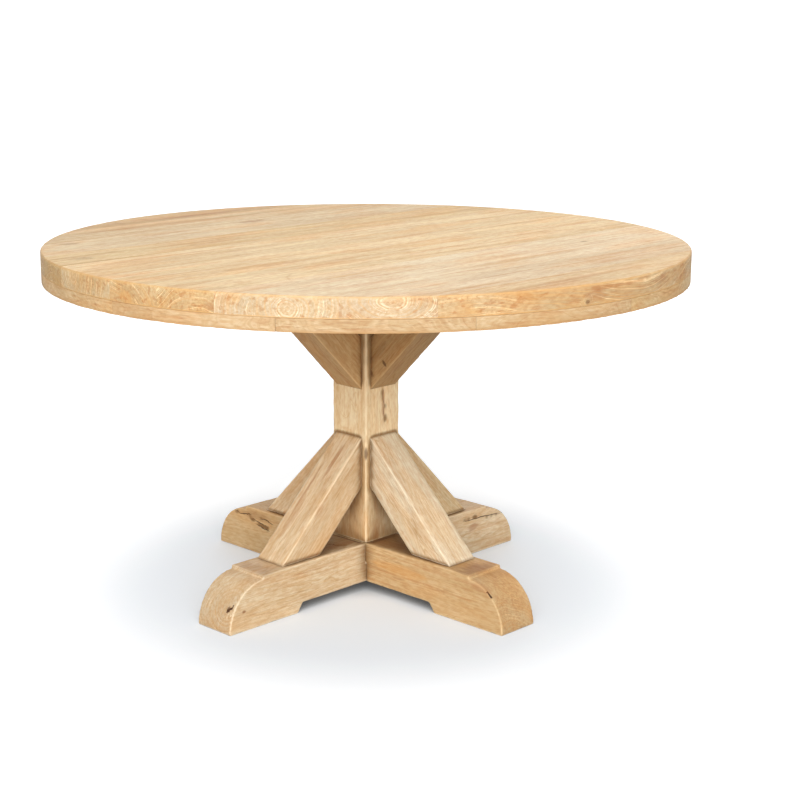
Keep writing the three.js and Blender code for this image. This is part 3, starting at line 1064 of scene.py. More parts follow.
@dataclass(frozen=True)
class Wear:
    """How far sanding and use have worn a timber.

    Attributes:
        facet: The size of the facets of the worn surface.
        rounding: How many times the arrises are smoothed.
        hollows: How deep the faces' hollows are.
        dents: How deep the arrises are dented.
        ARRIS_ANGLE: The least fold of the CAD mesh that counts as an arris.
        ARRIS_REACH: How far from an arris its wear fades.
        HOLLOW_WAVES: The waves in a metre of the hollows.
        DENT_WAVES: The waves in a metre of the dents.
        SMOOTHED: How far from an arris the mesh is smoothed, in facets.
    """

    facet: float = 0.0028
    rounding: int = 1
    hollows: float = 0.0004
    dents: float = 0.0012

    ARRIS_ANGLE = math.radians(25.0)
    # ARRIS_REACH: How far from an arris its wear, and the painted highlight on it, fade.
    ARRIS_REACH = 0.0018
    HOLLOW_WAVES = (11.0, 11.0, 11.0)
    DENT_WAVES = (55.0, 55.0, 55.0)
    SMOOTHED = 2.5

    @classmethod
    def tree(cls) -> bpy.types.NodeTree:
        """The Geometry Nodes tree that dents and hollows a surface. It only ever takes wood away."""
        known = bpy.data.node_groups.get("worn_surface")
        if known:
            return known
        takes = GEOMETRY | inputs_of("Float", "Hollows", "Dents", "Seed")
        takes |= {"Material": "Material"}
        g = Graph.group("worn_surface", "GeometryNodeTree", takes, GEOMETRY)
        place = g.place()
        wide = g.noise(place, cls.HOLLOW_WAVES, 1.0, g.taken["Seed"])
        close = g.noise(place, cls.DENT_WAVES, 3.0, g.taken["Seed"])
        arris = g.add("GeometryNodeInputNamedAttribute", {"Name": "arris"}, data_type="FLOAT").outputs[0]
        dented = g.times(g.times(g.rise(close, 0.35, 0.75), arris), g.taken["Dents"])
        hollowed = g.times(g.rise(wide, 0.2, 0.8), g.taken["Hollows"])
        depth = g.times(g.plus(dented, hollowed), -1.0)
        return g.finish_with(g.swollen(g.taken["Geometry"], depth))

    def timber(self, node: str, aligned: Matrix, seed: float, wood: bpy.types.Material) -> bpy.types.Object:
        """Remakes a CAD timber with rounded, dented arrises and faces that aren't quite flat.

        Args:
            node: The CAD node, whose mesh is copied.
            aligned: The turn that lays the timber's long faces along the axes.
            seed: The timber's own pattern of dents.
            wood: Its material.

        Returns:
            The timber, as a piece of its own.
        """
        work = bmesh.new()
        work.from_mesh(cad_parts[node].data)
        bmesh.ops.remove_doubles(work, verts=work.verts, dist=WELD)
        sharp = [e for e in work.edges if e.calc_face_angle(0.0) > self.ARRIS_ANGLE]
        lines = np.array([[tuple(v.co) for v in edge.verts] for edge in sharp])
        mesh = bpy.data.meshes.new(node)
        work.to_mesh(mesh)
        work.free()
        mesh.transform(aligned)
        piece = own_object(f"worn_{node}", mesh)
        remesh = piece.modifiers.new("facets", "REMESH")
        remesh.mode = "VOXEL"
        remesh.voxel_size = self.facet
        apply_modifiers(piece)
        piece.data.transform(aligned.inverted())
        self._round_arrises(piece.data, lines)
        away = nearness(numbers_of(piece.data.vertices, "co", 3), lines)
        write_attribute(piece.data, "arris", "POINT", np.exp(-((away / self.ARRIS_REACH) ** 2)))
        sizes = {"Hollows": self.hollows, "Dents": self.dents, "Seed": seed, "Material": wood}
        shape_with(piece, self.tree(), sizes)
        return piece

    def _round_arrises(self, mesh: bpy.types.Mesh, lines: np.ndarray) -> None:
        """Smooths a fine mesh along its arrises only."""
        away = nearness(numbers_of(mesh.vertices, "co", 3), lines)
        work = bmesh.new()
        work.from_mesh(mesh)
        work.verts.ensure_lookup_table()
        close = [work.verts[k] for k in np.flatnonzero(away < self.SMOOTHED * self.facet)]
        for _ in range(self.rounding):
            bmesh.ops.smooth_vert(
                work, verts=close, factor=0.5, use_axis_x=True, use_axis_y=True, use_axis_z=True
            )
        work.to_mesh(mesh)
        work.free()


@dataclass(frozen=True)
class Timber:
    """One worn timber: its CAD node, its wood and what has happened to it.

    Attributes:
        node: The CAD node that it stands for.
        cut: How it was sawn.
        finish: Its wood.
        wear: How worn it is.
        seed: Its own pattern of dents.
        blemishes: The knots and streaks on it.
        cracks: Its drying cracks.
        lean: How far its long faces are turned from the axes about Y, once its arm is turned to X.
        arm: The turn of its arm about Z.
    """

    node: str
    cut: Cut
    finish: WoodFinish
    wear: Wear = Wear()
    seed: float = 0.0
    blemishes: tuple[Blemish, ...] = ()
    cracks: tuple[Crack, ...] = ()
    lean: float = 0.0
    arm: float = 0.0

    SMOOTH_UNDER = math.radians(38.0)

    def build(self, corners: Corners) -> None:
        """Makes the timber and hands it over.

        Args:
            corners: The painted shade of the places that the table shuts in.
        """
        aligned = Matrix.Rotation(self.lean, 4, "Y") @ Matrix.Rotation(-self.arm, 4, "Z")
        wood = self.finish.material(self.node, self.cut, middle_of(self.node), self.blemishes)
        piece = self.wear.timber(self.node, aligned, self.seed, wood)
        if self.cracks:
            cut_out(piece, [crack.tool() for crack in self.cracks])
        mesh = piece.data
        mark_end_grain(mesh, self.cut.grain)
        centres = numbers_of(mesh.polygons, "center", 3)
        open_faces = np.zeros(len(centres))
        for crack in self.cracks:
            open_faces[crack.inside(centres)] = 1.0
        write_attribute(mesh, "check", "FACE", open_faces)
        corners.mark(mesh)
        mesh.set_sharp_from_angle(angle=self.SMOOTH_UNDER)
        hand_over(piece, Slot.BASE, self.node)


# ---- Top ----


@dataclass(frozen=True)
class TableTop:
    """Ten boards, glued edge to edge and turned to a round.

    Attributes:
        count: How many boards there are.
        facets: How many facets the round edge has.
        edge_rings: How many rings of vertices run round it.
        rounding: The radius of the upper arris.
        border: How far in from the edge the flat of the top begins.
        dents: How deep the edge is dented.
        edge_darkness: How much darker the upright edge is than the top, as a share of end grain.
        KNOCKED: How far under the top the dents of the edge end, and where they are full.
        DENT_WAVES: The waves in a metre of those dents.
        UPPER_ARRIS: How far the upper arris's wear, and the painted shade on it, reach in from the edge, and
            down from the top.
        SEAM_ARRIS: The same for the joint with the rim, up from the board's underside.
    """

    count: int = 10
    facets: int = 720
    edge_rings: int = 14
    rounding: float = 0.004
    border: float = 0.012
    dents: float = 0.0009
    edge_darkness: float = 1.7

    KNOCKED = (0.010, 0.002)
    DENT_WAVES = (38.0, 38.0, 20.0)
    UPPER_ARRIS = ((0.0045, 0.0015), (0.004, 0.001))
    SEAM_ARRIS = ((0.006, 0.004), (0.0025, 0.0007))

    def build(self) -> None:
        """Makes the boards."""
        tree = self._tree()
        ends = [corners_of(node) for node in self._nodes()]
        low = Vector(min(end[0][k] for end in ends) for k in range(3))
        high = Vector(max(end[1][k] for end in ends) for k in range(3))
        for number, (node, (board_low, board_high)) in enumerate(zip(self._nodes(), ends)):
            grade = BOARDS[number]
            wood = grade.finish.material(node, grade.cut, (board_low + board_high) / 2, grade.blemishes)
            piece = own_object(f"worn_{node}", bpy.data.meshes.new(node))
            sizes = {
                "Radius": high.x,
                "Thickness": high.z - low.z,
                "Underside": low.z,
                "From": board_low.y,
                "To": board_high.y,
                "Rounding": self.rounding,
                "Border": self.border,
                "Dents": self.dents,
                "Material": wood,
            }
            shape_with(piece, tree, sizes, TOP_SMOOTH_UNDER)
            mark_end_grain(piece.data, grade.cut.grain, self.edge_darkness)
            hand_over(piece, Slot.TOP, node)

    def _nodes(self) -> list[str]:
        """The boards' CAD nodes, from front to back."""
        return [f"top_plank_{number + 1:02d}" for number in range(self.count)]

    def _tree(self) -> bpy.types.NodeTree:
        """Builds the Geometry Nodes tree that turns the round and saws one board out of it."""
        takes = inputs_of("Float", "Radius", "Thickness", "Underside", "From", "To")
        takes |= inputs_of("Float", "Rounding", "Border", "Dents")
        takes |= {"Material": "Material"}
        g = Graph.group("round_board", "GeometryNodeTree", takes, GEOMETRY)
        radius, thickness, rounding = (g.taken[k] for k in ("Radius", "Thickness", "Rounding"))
        blank = g.add(
            "GeometryNodeMeshCylinder",
            {"Vertices": self.facets, "Side Segments": self.edge_rings, "Radius": radius, "Depth": thickness},
            fill_type="NGON",
        ).outputs["Mesh"]
        place = g.place()
        x, y, z = g.parts(place)

        # The rings crowd towards both faces, and the first and last lie on them.
        ring = g.times(g.plus(g.over(z, thickness), 0.5), self.edge_rings)
        wall = g.over(g.minus(ring, 1.0), self.edge_rings - 2.0)
        swing = g.maths("COSINE", g.times(g.clamped(wall), math.pi))
        height = g.times(g.times_plus(swing, -0.5, 0.5), thickness)
        under_top = g.maths("MINIMUM", g.minus(thickness, height), rounding)
        reach = g.minus(rounding, under_top)
        flat = g.maths("SQRT", g.minus(g.times(rounding, rounding), g.times(reach, reach)))
        inset = g.minus(rounding, flat)
        off_wall = g.maths("GREATER_THAN", g.maths("ABSOLUTE", g.minus(wall, 0.5)), 0.53)
        inset = g.times_plus(off_wall, g.taken["Border"], g.maths("MAXIMUM", inset, 0.0))

        # The edge is dented where it is knocked most, along the upper arris.
        knocked = g.rise(g.minus(thickness, height), *self.KNOCKED)
        around = g.noise(place, self.DENT_WAVES, 3.0)
        dent = g.times(g.times(g.rise(around, 0.4, 0.75), knocked), g.taken["Dents"])
        share = g.minus(1.0, g.over(g.plus(inset, dent), radius))
        level = g.plus(height, g.taken["Underside"])
        turned_place = g.joined(g.times(x, share), g.times(y, share), level)
        turned = g.set_to(blank, turned_place)

        # One board is what lies between two seams.
        width = g.minus(g.taken["To"], g.taken["From"])
        across = g.times(g.plus(g.taken["To"], g.taken["From"]), 0.5)
        size = g.joined(g.times(radius, 2.2), width, g.times(thickness, 3.0))
        box = g.add("GeometryNodeMeshCube", {"Size": size}).outputs["Mesh"]
        strip = g.shifted(box, g.joined(0.0, across, g.taken["Underside"]))
        sawn = g.add("GeometryNodeMeshBoolean", operation="INTERSECT", solver="EXACT")
        g.feed(sawn.inputs["Mesh 2"], turned)
        g.feed(sawn.inputs["Mesh 2"], strip)
        x, y, z = g.parts(g.place())
        out = g.length(g.joined(x, y, 0.0))
        above = g.minus(z, g.taken["Underside"])
        down = g.minus(thickness, above)
        edge = g.minus(radius, out)
        edge_reach, face_reach = self.UPPER_ARRIS
        upper = g.times(g.rise(edge, *edge_reach), g.rise(down, *face_reach))
        edge_reach, face_reach = self.SEAM_ARRIS
        seam = g.times(g.rise(edge, *edge_reach), g.rise(above, *face_reach))
        worn = g.maths("MAXIMUM", upper, seam)
        return g.finish_with(g.marked(sawn.outputs["Mesh"], "arris", worn))


@dataclass(frozen=True)
class Rim:
    """The ring of segments under the boards' edge, each with its grain along its own chord.

    Attributes:
        count: How many segments there are.
        rounding: The radius of the lower arrises.
        facets: How many facets run along one segment.
        dents: How deep the arrises are dented.
        ARRIS: How far from an arris its wear ends, and where it is full.
        DENT_WAVES: The waves in a metre of the dents.
        ROUNDING_CUTS: How many cuts make the roundings and the flats between them.
    """

    count: int = 12
    rounding: float = 0.0022
    facets: int = 84
    dents: float = 0.0009

    ARRIS = (0.006, 0.001)
    DENT_WAVES = (60.0, 60.0, 60.0)
    ROUNDING_CUTS = 3

    def build(self) -> None:
        """Makes the segments."""
        tree = self._tree()
        for number in range(self.count):
            node = f"rim_segment_{number + 1:02d}"
            low, high = corners_of(node)
            places = numbers_of(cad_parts[node].data.vertices, "co", 3)
            radii = np.hypot(places[:, 0], places[:, 1])
            middle = math.atan2(places[:, 1].mean(), places[:, 0].mean())
            swept = np.angle(np.exp(1j * (np.arctan2(places[:, 1], places[:, 0]) - middle)))
            grade = RIM_WOODS[number]
            chord = (-math.sin(middle), math.cos(middle), 0.0)
            outward = (math.cos(middle), math.sin(middle), 0.0)
            cut = Cut(chord, outward, grade.pith, grade.along)
            wood = grade.finish.material(node, cut, (low + high) / 2, grade.blemishes)
            piece = own_object(f"worn_{node}", bpy.data.meshes.new(node))
            sizes = {
                "Inner Radius": float(radii.min()),
                "Outer Radius": float(radii.max()),
                "Underside": low.z,
                "Thickness": high.z - low.z,
                "Start": middle + float(swept.min()),
                "Sweep": float(np.ptp(swept)),
                "Rounding": self.rounding,
                "Facets": self.facets,
                "Dents": self.dents,
                "Seed": float(number),
                "Material": wood,
            }
            shape_with(piece, tree, sizes, TOP_SMOOTH_UNDER)
            mark_end_grain(piece.data, chord)
            hand_over(piece, Slot.RIM, node)

    def _tree(self) -> bpy.types.NodeTree:
        """Builds the Geometry Nodes tree that bends one segment."""
        takes = inputs_of("Float", "Inner Radius", "Outer Radius", "Underside", "Thickness", "Start")
        takes |= inputs_of("Float", "Sweep", "Rounding", "Dents", "Seed")
        takes |= {"Facets": "Int", "Material": "Material"}
        g = Graph.group("rim_segment", "GeometryNodeTree", takes, GEOMETRY)
        thickness = g.taken["Thickness"]
        width = g.minus(g.taken["Outer Radius"], g.taken["Inner Radius"])
        centre = g.times(g.plus(g.taken["Outer Radius"], g.taken["Inner Radius"]), 0.5)
        arc = g.add(
            "GeometryNodeCurveArc",
            {
                "Resolution": g.taken["Facets"],
                "Radius": centre,
                "Start Angle": g.taken["Start"],
                "Sweep Angle": g.taken["Sweep"],
            },
            mode="RADIUS",
        ).outputs["Curve"]
        upright = g.add("GeometryNodeSetCurveNormal", {"Curve": arc}, mode="Z_UP").outputs[0]
        bar = g.add(
            "GeometryNodeCurvePrimitiveQuadrilateral", {"Width": width, "Height": thickness}, mode="RECTANGLE"
        ).outputs[0]
        halved = g.add("GeometryNodeSubdivideCurve", {"Curve": bar, "Cuts": 1}).outputs[0]
        _, up, _ = g.parts(g.place())
        lower = g.maths("LESS_THAN", up, g.times(thickness, -0.4))
        eased = g.add(
            "GeometryNodeFilletCurve",
            {"Curve": halved, "Count": self.ROUNDING_CUTS, "Radius": g.times(lower, g.taken["Rounding"])},
            mode="POLY",
        ).outputs[0]
        profile = g.add("GeometryNodeSubdivideCurve", {"Curve": eased, "Cuts": self.ROUNDING_CUTS}).outputs[0]
        swept = {"Curve": upright, "Profile Curve": profile, "Fill Caps": True}
        bent = g.add("GeometryNodeCurveToMesh", swept).outputs[0]
        lift = g.joined(0.0, 0.0, g.times_plus(thickness, 0.5, g.taken["Underside"]))
        placed = g.shifted(bent, lift)

        # Both lower arrises are worn.
        place = g.place()
        x, y, z = g.parts(place)
        out = g.length(g.joined(x, y, 0.0))
        low = g.rise(g.minus(z, g.taken["Underside"]), *self.ARRIS)
        side = g.maths("ABSOLUTE", g.minus(out, centre))
        edge = g.rise(g.minus(g.times(width, 0.5), side), *self.ARRIS)
        worn = g.times(low, edge)
        marked = g.marked(placed, "arris", worn)
        close = g.rise(g.noise(place, self.DENT_WAVES, 3.0, g.taken["Seed"]), 0.4, 0.75)
        inward = g.times(g.taken["Dents"], -1.0)
        depth = g.times(g.times(close, worn), inward)
        return g.finish_with(g.swollen(marked, depth))


# ---- Pedestal ----


@dataclass(frozen=True)
class Post:
    """The square post, from its tenon in the beams up to the bearers.

    Attributes:
        finish: Its wood.
        cut: How it was sawn.
        blemishes: The knots and streaks on it.
        cracks: Its drying cracks.
    """

    finish: WoodFinish
    cut: Cut
    blemishes: tuple[Blemish, ...]
    cracks: tuple[Crack, ...]

    SEED = 3.0

    def build(self, corners: Corners) -> None:
        """Makes the post."""
        Timber(
            "pedestal_post",
            self.cut,
            self.finish,
            seed=self.SEED,
            blemishes=self.blemishes,
            cracks=self.cracks,
        ).build(corners)


@dataclass(frozen=True)
class BraceWood:
    """What sets one brace apart from the others.

    Attributes:
        finish: Its wood.
        pith: The log's middle: how deep under its outer face, and how far to the side.
        along: Where on the log it lies.
        blemishes: The streaks and knots on it.
        cracks: Its drying cracks.
    """

    finish: WoodFinish
    pith: tuple[float, float]
    along: float
    blemishes: tuple[Blemish, ...] = ()
    cracks: tuple[Crack, ...] = ()


@dataclass(frozen=True)
class Braces:
    """The eight braces: sticks of one section at 45 degrees, two to each arm.

    Attributes:
        woods: The wood of each, by its level and arm.
    """

    woods: dict[tuple[Level, Arm], BraceWood]

    LEAN = math.radians(45.0)
    FIRST_SEED = 10.0

    def build(self, corners: Corners) -> None:
        """Makes the braces."""
        for number, ((level, arm), wood) in enumerate(self.woods.items()):
            out = Vector(arm.outward)
            grain = out - Vector((0.0, 0.0, level.value))
            face = out + Vector((0.0, 0.0, level.value))
            cut = Cut(tuple(grain), tuple(face), wood.pith, wood.along)
            Timber(
                f"{level.label}_brace_{arm.label}",
                cut,
                wood.finish,
                seed=self.FIRST_SEED + number,
                blemishes=wood.blemishes,
                cracks=wood.cracks,
                lean=self.LEAN,
                arm=arm.turn,
            ).build(corners)


@dataclass(frozen=True)
class CrossedPair:
    """Two timbers that are halved into each other: the base beams, or the bearers.

    Attributes:
        node: The start of both CAD nodes' names.
        woods: The wood of each, by its line.
        wear: How worn they are.
        seed: The first one's pattern of dents.
    """

    node: str
    woods: dict[Pair, BraceWood]
    wear: Wear
    seed: float

    def build(self, corners: Corners) -> None:
        """Makes both timbers."""
        for number, (pair, wood) in enumerate(self.woods.items()):
            cut = Cut(pair.outward, UP, wood.pith, wood.along)
            Timber(
                f"{self.node}_{pair.label}",
                cut,
                wood.finish,
                wear=self.wear,
                seed=self.seed + number,
                blemishes=wood.blemishes,
                cracks=wood.cracks,
            ).build(corners)


# ---- Fastenings ----


@dataclass(frozen=True)
class Dowels:
    """The four fluted dowels between the post and the braces.

    Attributes:
        finish: Their wood.
        facets: How many facets each one has.
        rings: How many rings of vertices run along it.
        flutes: How many flutes it has.
        flute_depth: How deep they are.
        chamfer: How far its ends are eased.
    """

    finish: WoodFinish
    facets: int = 72
    rings: int = 16
    flutes: int = 12
    flute_depth: float = 0.0005
    chamfer: float = 0.0015

    PITH = (0.06, 0.02)
    LOG_STEP = 4.0
    SMOOTH_UNDER = math.radians(40.0)

    def build(self) -> None:
        """Makes the dowels."""
        tree = self._tree()
        for level in Level:
            for pair in Pair:
                node = f"{level.label}_dowel_{pair.label}"
                low, high = corners_of(node)
                cut = Cut(pair.outward, UP, self.PITH, self.LOG_STEP * level.value + pair.value)
                piece = own_object(f"fluted_{node}", bpy.data.meshes.new(node))
                sizes = {
                    "Radius": (high.z - low.z) / 2,
                    "Length": max(high.x - low.x, high.y - low.y),
                    "Height": (high.z + low.z) / 2,
                    "Turn": pair.turn,
                    "Flute Depth": self.flute_depth,
                    "Chamfer": self.chamfer,
                    "Material": self.finish.material(node, cut, (low + high) / 2),
                }
                shape_with(piece, tree, sizes, self.SMOOTH_UNDER)
                mark_end_grain(piece.data, pair.outward)
                hand_over(piece, Slot.DOWEL, node)

    def _tree(self) -> bpy.types.NodeTree:
        """Builds the Geometry Nodes tree of one dowel."""
        takes = inputs_of("Float", "Radius", "Length", "Height", "Turn", "Flute Depth", "Chamfer")
        takes |= {"Material": "Material"}
        g = Graph.group("fluted_dowel", "GeometryNodeTree", takes, GEOMETRY)
        radius, length = g.taken["Radius"], g.taken["Length"]
        rod = g.add(
            "GeometryNodeMeshCylinder",
            {"Vertices": self.facets, "Side Segments": self.rings, "Radius": radius, "Depth": length},
            fill_type="NGON",
        ).outputs["Mesh"]
        x, y, z = g.parts(g.place())
        from_end = g.minus(g.times(length, 0.5), g.maths("ABSOLUTE", z))
        eased = g.times(g.rise(from_end, 0.008, 0.0), g.taken["Chamfer"])
        wave = g.maths("COSINE", g.times(g.maths("ARCTAN2", y, x), self.flutes))
        fluted = g.times(g.rise(wave, 0.2, 1.0), g.taken["Flute Depth"])
        share = g.minus(1.0, g.over(g.plus(eased, fluted), radius))
        shaped = g.joined(g.times(x, share), g.times(y, share), z)
        turned = g.set_to(rod, shaped)
        lie = {"Geometry": turned, "Rotation": g.joined(0.0, math.pi / 2, g.taken["Turn"])}
        lie["Translation"] = g.joined(0.0, 0.0, g.taken["Height"])
        return g.finish_with(g.add("GeometryNodeTransform", lie).outputs[0])


THREAD_STEPS = 20
THREAD_CORNERS = 4


def thread(g: Graph, core: Value, crest: Value, start: Value, rise: Value, pitch: Value) -> Socket:
    """Adds a screw thread that winds up a shank.

    Args:
        g: The geometry graph.
        core: The radius of the shank.
        crest: How far the thread stands out from it.
        start: The height at which it starts.
        rise: How far it winds up.
        pitch: The height of one turn.

    Returns:
        The thread's geometry.
    """
    helix = g.add(
        "GeometryNodeCurveSpiral",
        {
            "Resolution": THREAD_STEPS,
            "Rotations": g.over(rise, pitch),
            "Start Radius": core,
            "End Radius": core,
            "Height": rise,
        },
    ).outputs[0]
    corners = {"Resolution": THREAD_CORNERS, "Radius": crest}
    ridge = g.add("GeometryNodeCurvePrimitiveCircle", corners, mode="RADIUS")
    swept = {"Curve": helix, "Profile Curve": ridge.outputs[0], "Fill Caps": True}
    wound = g.add("GeometryNodeCurveToMesh", swept).outputs[0]
    return g.shifted(wound, g.joined(0.0, 0.0, start))


def along_z(g: Graph, kind: str, start: Value, sizes: dict[str, Value]) -> Socket:
    """Adds a cylinder or cone that stands on a height.

    Args:
        g: The geometry graph.
        kind: Cylinder or Cone.
        start: The height of its foot.
        sizes: The sizes that the node takes, with Depth among them.

    Returns:
        Its geometry.
    """
    made = g.add(f"GeometryNodeMesh{kind}", sizes, fill_type="NGON").outputs["Mesh"]
    foot = start if kind == "Cone" else g.times_plus(sizes["Depth"], 0.5, start)
    return g.shifted(made, g.joined(0.0, 0.0, foot))


def pointed_shank(g: Graph, facets: int, core: Value, foot: Value, end: Value) -> tuple[Socket, Socket]:
    """Adds the bare shank of a screw, and its point.

    Args:
        g: The geometry graph, with Tip, the length of the point, among its inputs.
        facets: How many facets both have.
        core: The radius of the shank.
        foot: The height at which the shank starts.
        end: The height at which it ends and the point starts.

    Returns:
        The shank and the point.
    """
    straight = {"Vertices": facets, "Radius": core, "Depth": g.minus(end, foot)}
    point = {"Vertices": facets, "Radius Bottom": core, "Radius Top": 0.0, "Depth": g.taken["Tip"]}
    return along_z(g, "Cylinder", foot, straight), along_z(g, "Cone", end, point)


def joined_geometry(g: Graph, shells: Iterable[Socket]) -> Socket:
    """Joins closed shells to one geometry."""
    join = g.add("GeometryNodeJoinGeometry")
    for shell in shells:
        g.feed(join.inputs[0], shell)
    return join.outputs[0]


def at_each_seat(g: Graph, one: Socket) -> bpy.types.NodeTree:
    """Ends a tree by putting a fastening at each point that it was given.

    Args:
        g: The geometry graph, with Geometry and Tilt among its inputs.
        one: The fastening, upright, with its bearing face at the origin.

    Returns:
        The tree.
    """
    spin = g.joined(g.taken["Tilt"], 0.0, 0.0)
    spots = {"Points": g.taken["Geometry"], "Instance": one, "Rotation": spin}
    return g.finish_with(g.add("GeometryNodeInstanceOnPoints", spots).outputs[0])


@dataclass(frozen=True)
class WoodScrews:
    """The pan-headed wood screws, with a cross recess, that hold the braces and the top.

    Attributes:
        steel: Their finish.
        head: The radius of the head.
        head_height: Its height.
        shank: The radius over the thread.
        tip: The length of the point.
        pitch: The height of one turn of the thread.
        gap: The hair that is left between the head and its seat.
        CORE: The bare shank, as a share of the radius over the thread.
        CREST: How far the thread stands out, in the same way.
        BARE: The share of the length without a thread.
        CROWN: The shares of the head's height between which it is domed.
        DOMING: How much narrower the crown's outer end is, as a share of its radius.
    """

    steel: SteelFinish
    head: float = 0.0065
    head_height: float = 0.005
    shank: float = 0.003
    tip: float = 0.008
    pitch: float = 0.0026
    gap: float = 0.0003

    CORE = 0.72
    CREST = 0.26
    BARE = 0.3
    CROWN = (0.75, -0.1)
    DOMING = -0.38
    HEAD_FACETS = 40
    HEAD_RINGS = 8
    SHANK_FACETS = 24
    RECESS_LONG = 0.95
    RECESS_WIDE = 0.2

    def build(self) -> None:
        """Makes the three sets of screws."""
        tree = self._tree()
        spots = ("outer", "inner")
        sets = {
            "lower_brace_screws": ([f"lower_brace_screw_{arm.label}" for arm in Arm], 0.0),
            "upper_brace_screws": ([f"upper_brace_screw_{arm.label}" for arm in Arm], math.pi),
            "top_screws": ([f"top_screw_{arm.label}_{spot}" for arm in Arm for spot in spots], 0.0),
        }
        for name, (nodes, tilt) in sets.items():
            boxes = [corners_of(node) for node in nodes]
            drop = self.head_height + self.gap
            seats = []
            for low, high in boxes:
                level = high.z - drop if tilt else low.z + drop
                seats.append(((low.x + high.x) / 2, (low.y + high.y) / 2, level))
            start = bpy.data.meshes.new(name)
            start.from_pydata(seats, [], [])
            piece = own_object(name, start)
            low, high = boxes[0]
            sizes = {
                "Head Radius": self.head,
                "Head Height": self.head_height,
                "Shank Radius": self.shank,
                "Length": high.z - low.z - drop,
                "Tip": self.tip,
                "Pitch": self.pitch,
                "Gap": self.gap,
                "Tilt": tilt,
                "Material": self.steel.material(f"{name}_zinc"),
            }
            shape_with(piece, tree, sizes, STEEL_SMOOTH_UNDER)
            hand_over(piece, Slot.STEEL, *nodes)

    def _tree(self) -> bpy.types.NodeTree:
        """Builds the Geometry Nodes tree that drives a screw at each point."""
        takes = GEOMETRY | inputs_of("Float", "Head Radius", "Head Height", "Shank Radius", "Length", "Tip")
        takes |= inputs_of("Float", "Pitch", "Gap", "Tilt")
        takes |= {"Material": "Material"}
        g = Graph.group("wood_screws", "GeometryNodeTree", takes, GEOMETRY)
        radius, height, gap = (g.taken[k] for k in ("Head Radius", "Head Height", "Gap"))
        core = g.times(g.taken["Shank Radius"], self.CORE)
        crest = g.times(g.taken["Shank Radius"], self.CREST)
        shank_end = g.minus(g.taken["Length"], g.taken["Tip"])
        outer = g.times(g.plus(height, gap), -1.0)
        facets = {"Vertices": self.HEAD_FACETS, "Side Segments": self.HEAD_RINGS}
        blank = along_z(g, "Cylinder", outer, facets | {"Radius": radius, "Depth": height})
        x, y, z = g.parts(g.place())
        crown = g.rise(g.over(g.minus(z, outer), height), *self.CROWN)
        share = g.times_plus(crown, self.DOMING, 1.0)
        pan = g.joined(g.times(x, share), g.times(y, share), z)
        head = g.set_to(blank, pan)
        recess = g.add("GeometryNodeMeshBoolean", {"Mesh 1": head}, operation="DIFFERENCE", solver="EXACT")
        long = g.times(radius, self.RECESS_LONG)
        wide = g.times(radius, self.RECESS_WIDE)
        at_face = g.joined(0.0, 0.0, outer)
        for size in (g.joined(long, wide, height), g.joined(wide, long, height)):
            wing = g.add("GeometryNodeMeshCube", {"Size": size}).outputs["Mesh"]
            g.feed(recess.inputs["Mesh 2"], g.shifted(wing, at_face))
        neck = g.minus(0.0, g.times(gap, 2.0))
        shank, tip = pointed_shank(g, self.SHANK_FACETS, core, neck, shank_end)
        bare = g.times(g.taken["Length"], self.BARE)
        winding = thread(g, core, crest, bare, g.minus(shank_end, bare), g.taken["Pitch"])
        return at_each_seat(g, joined_geometry(g, (recess.outputs["Mesh"], shank, tip, winding)))


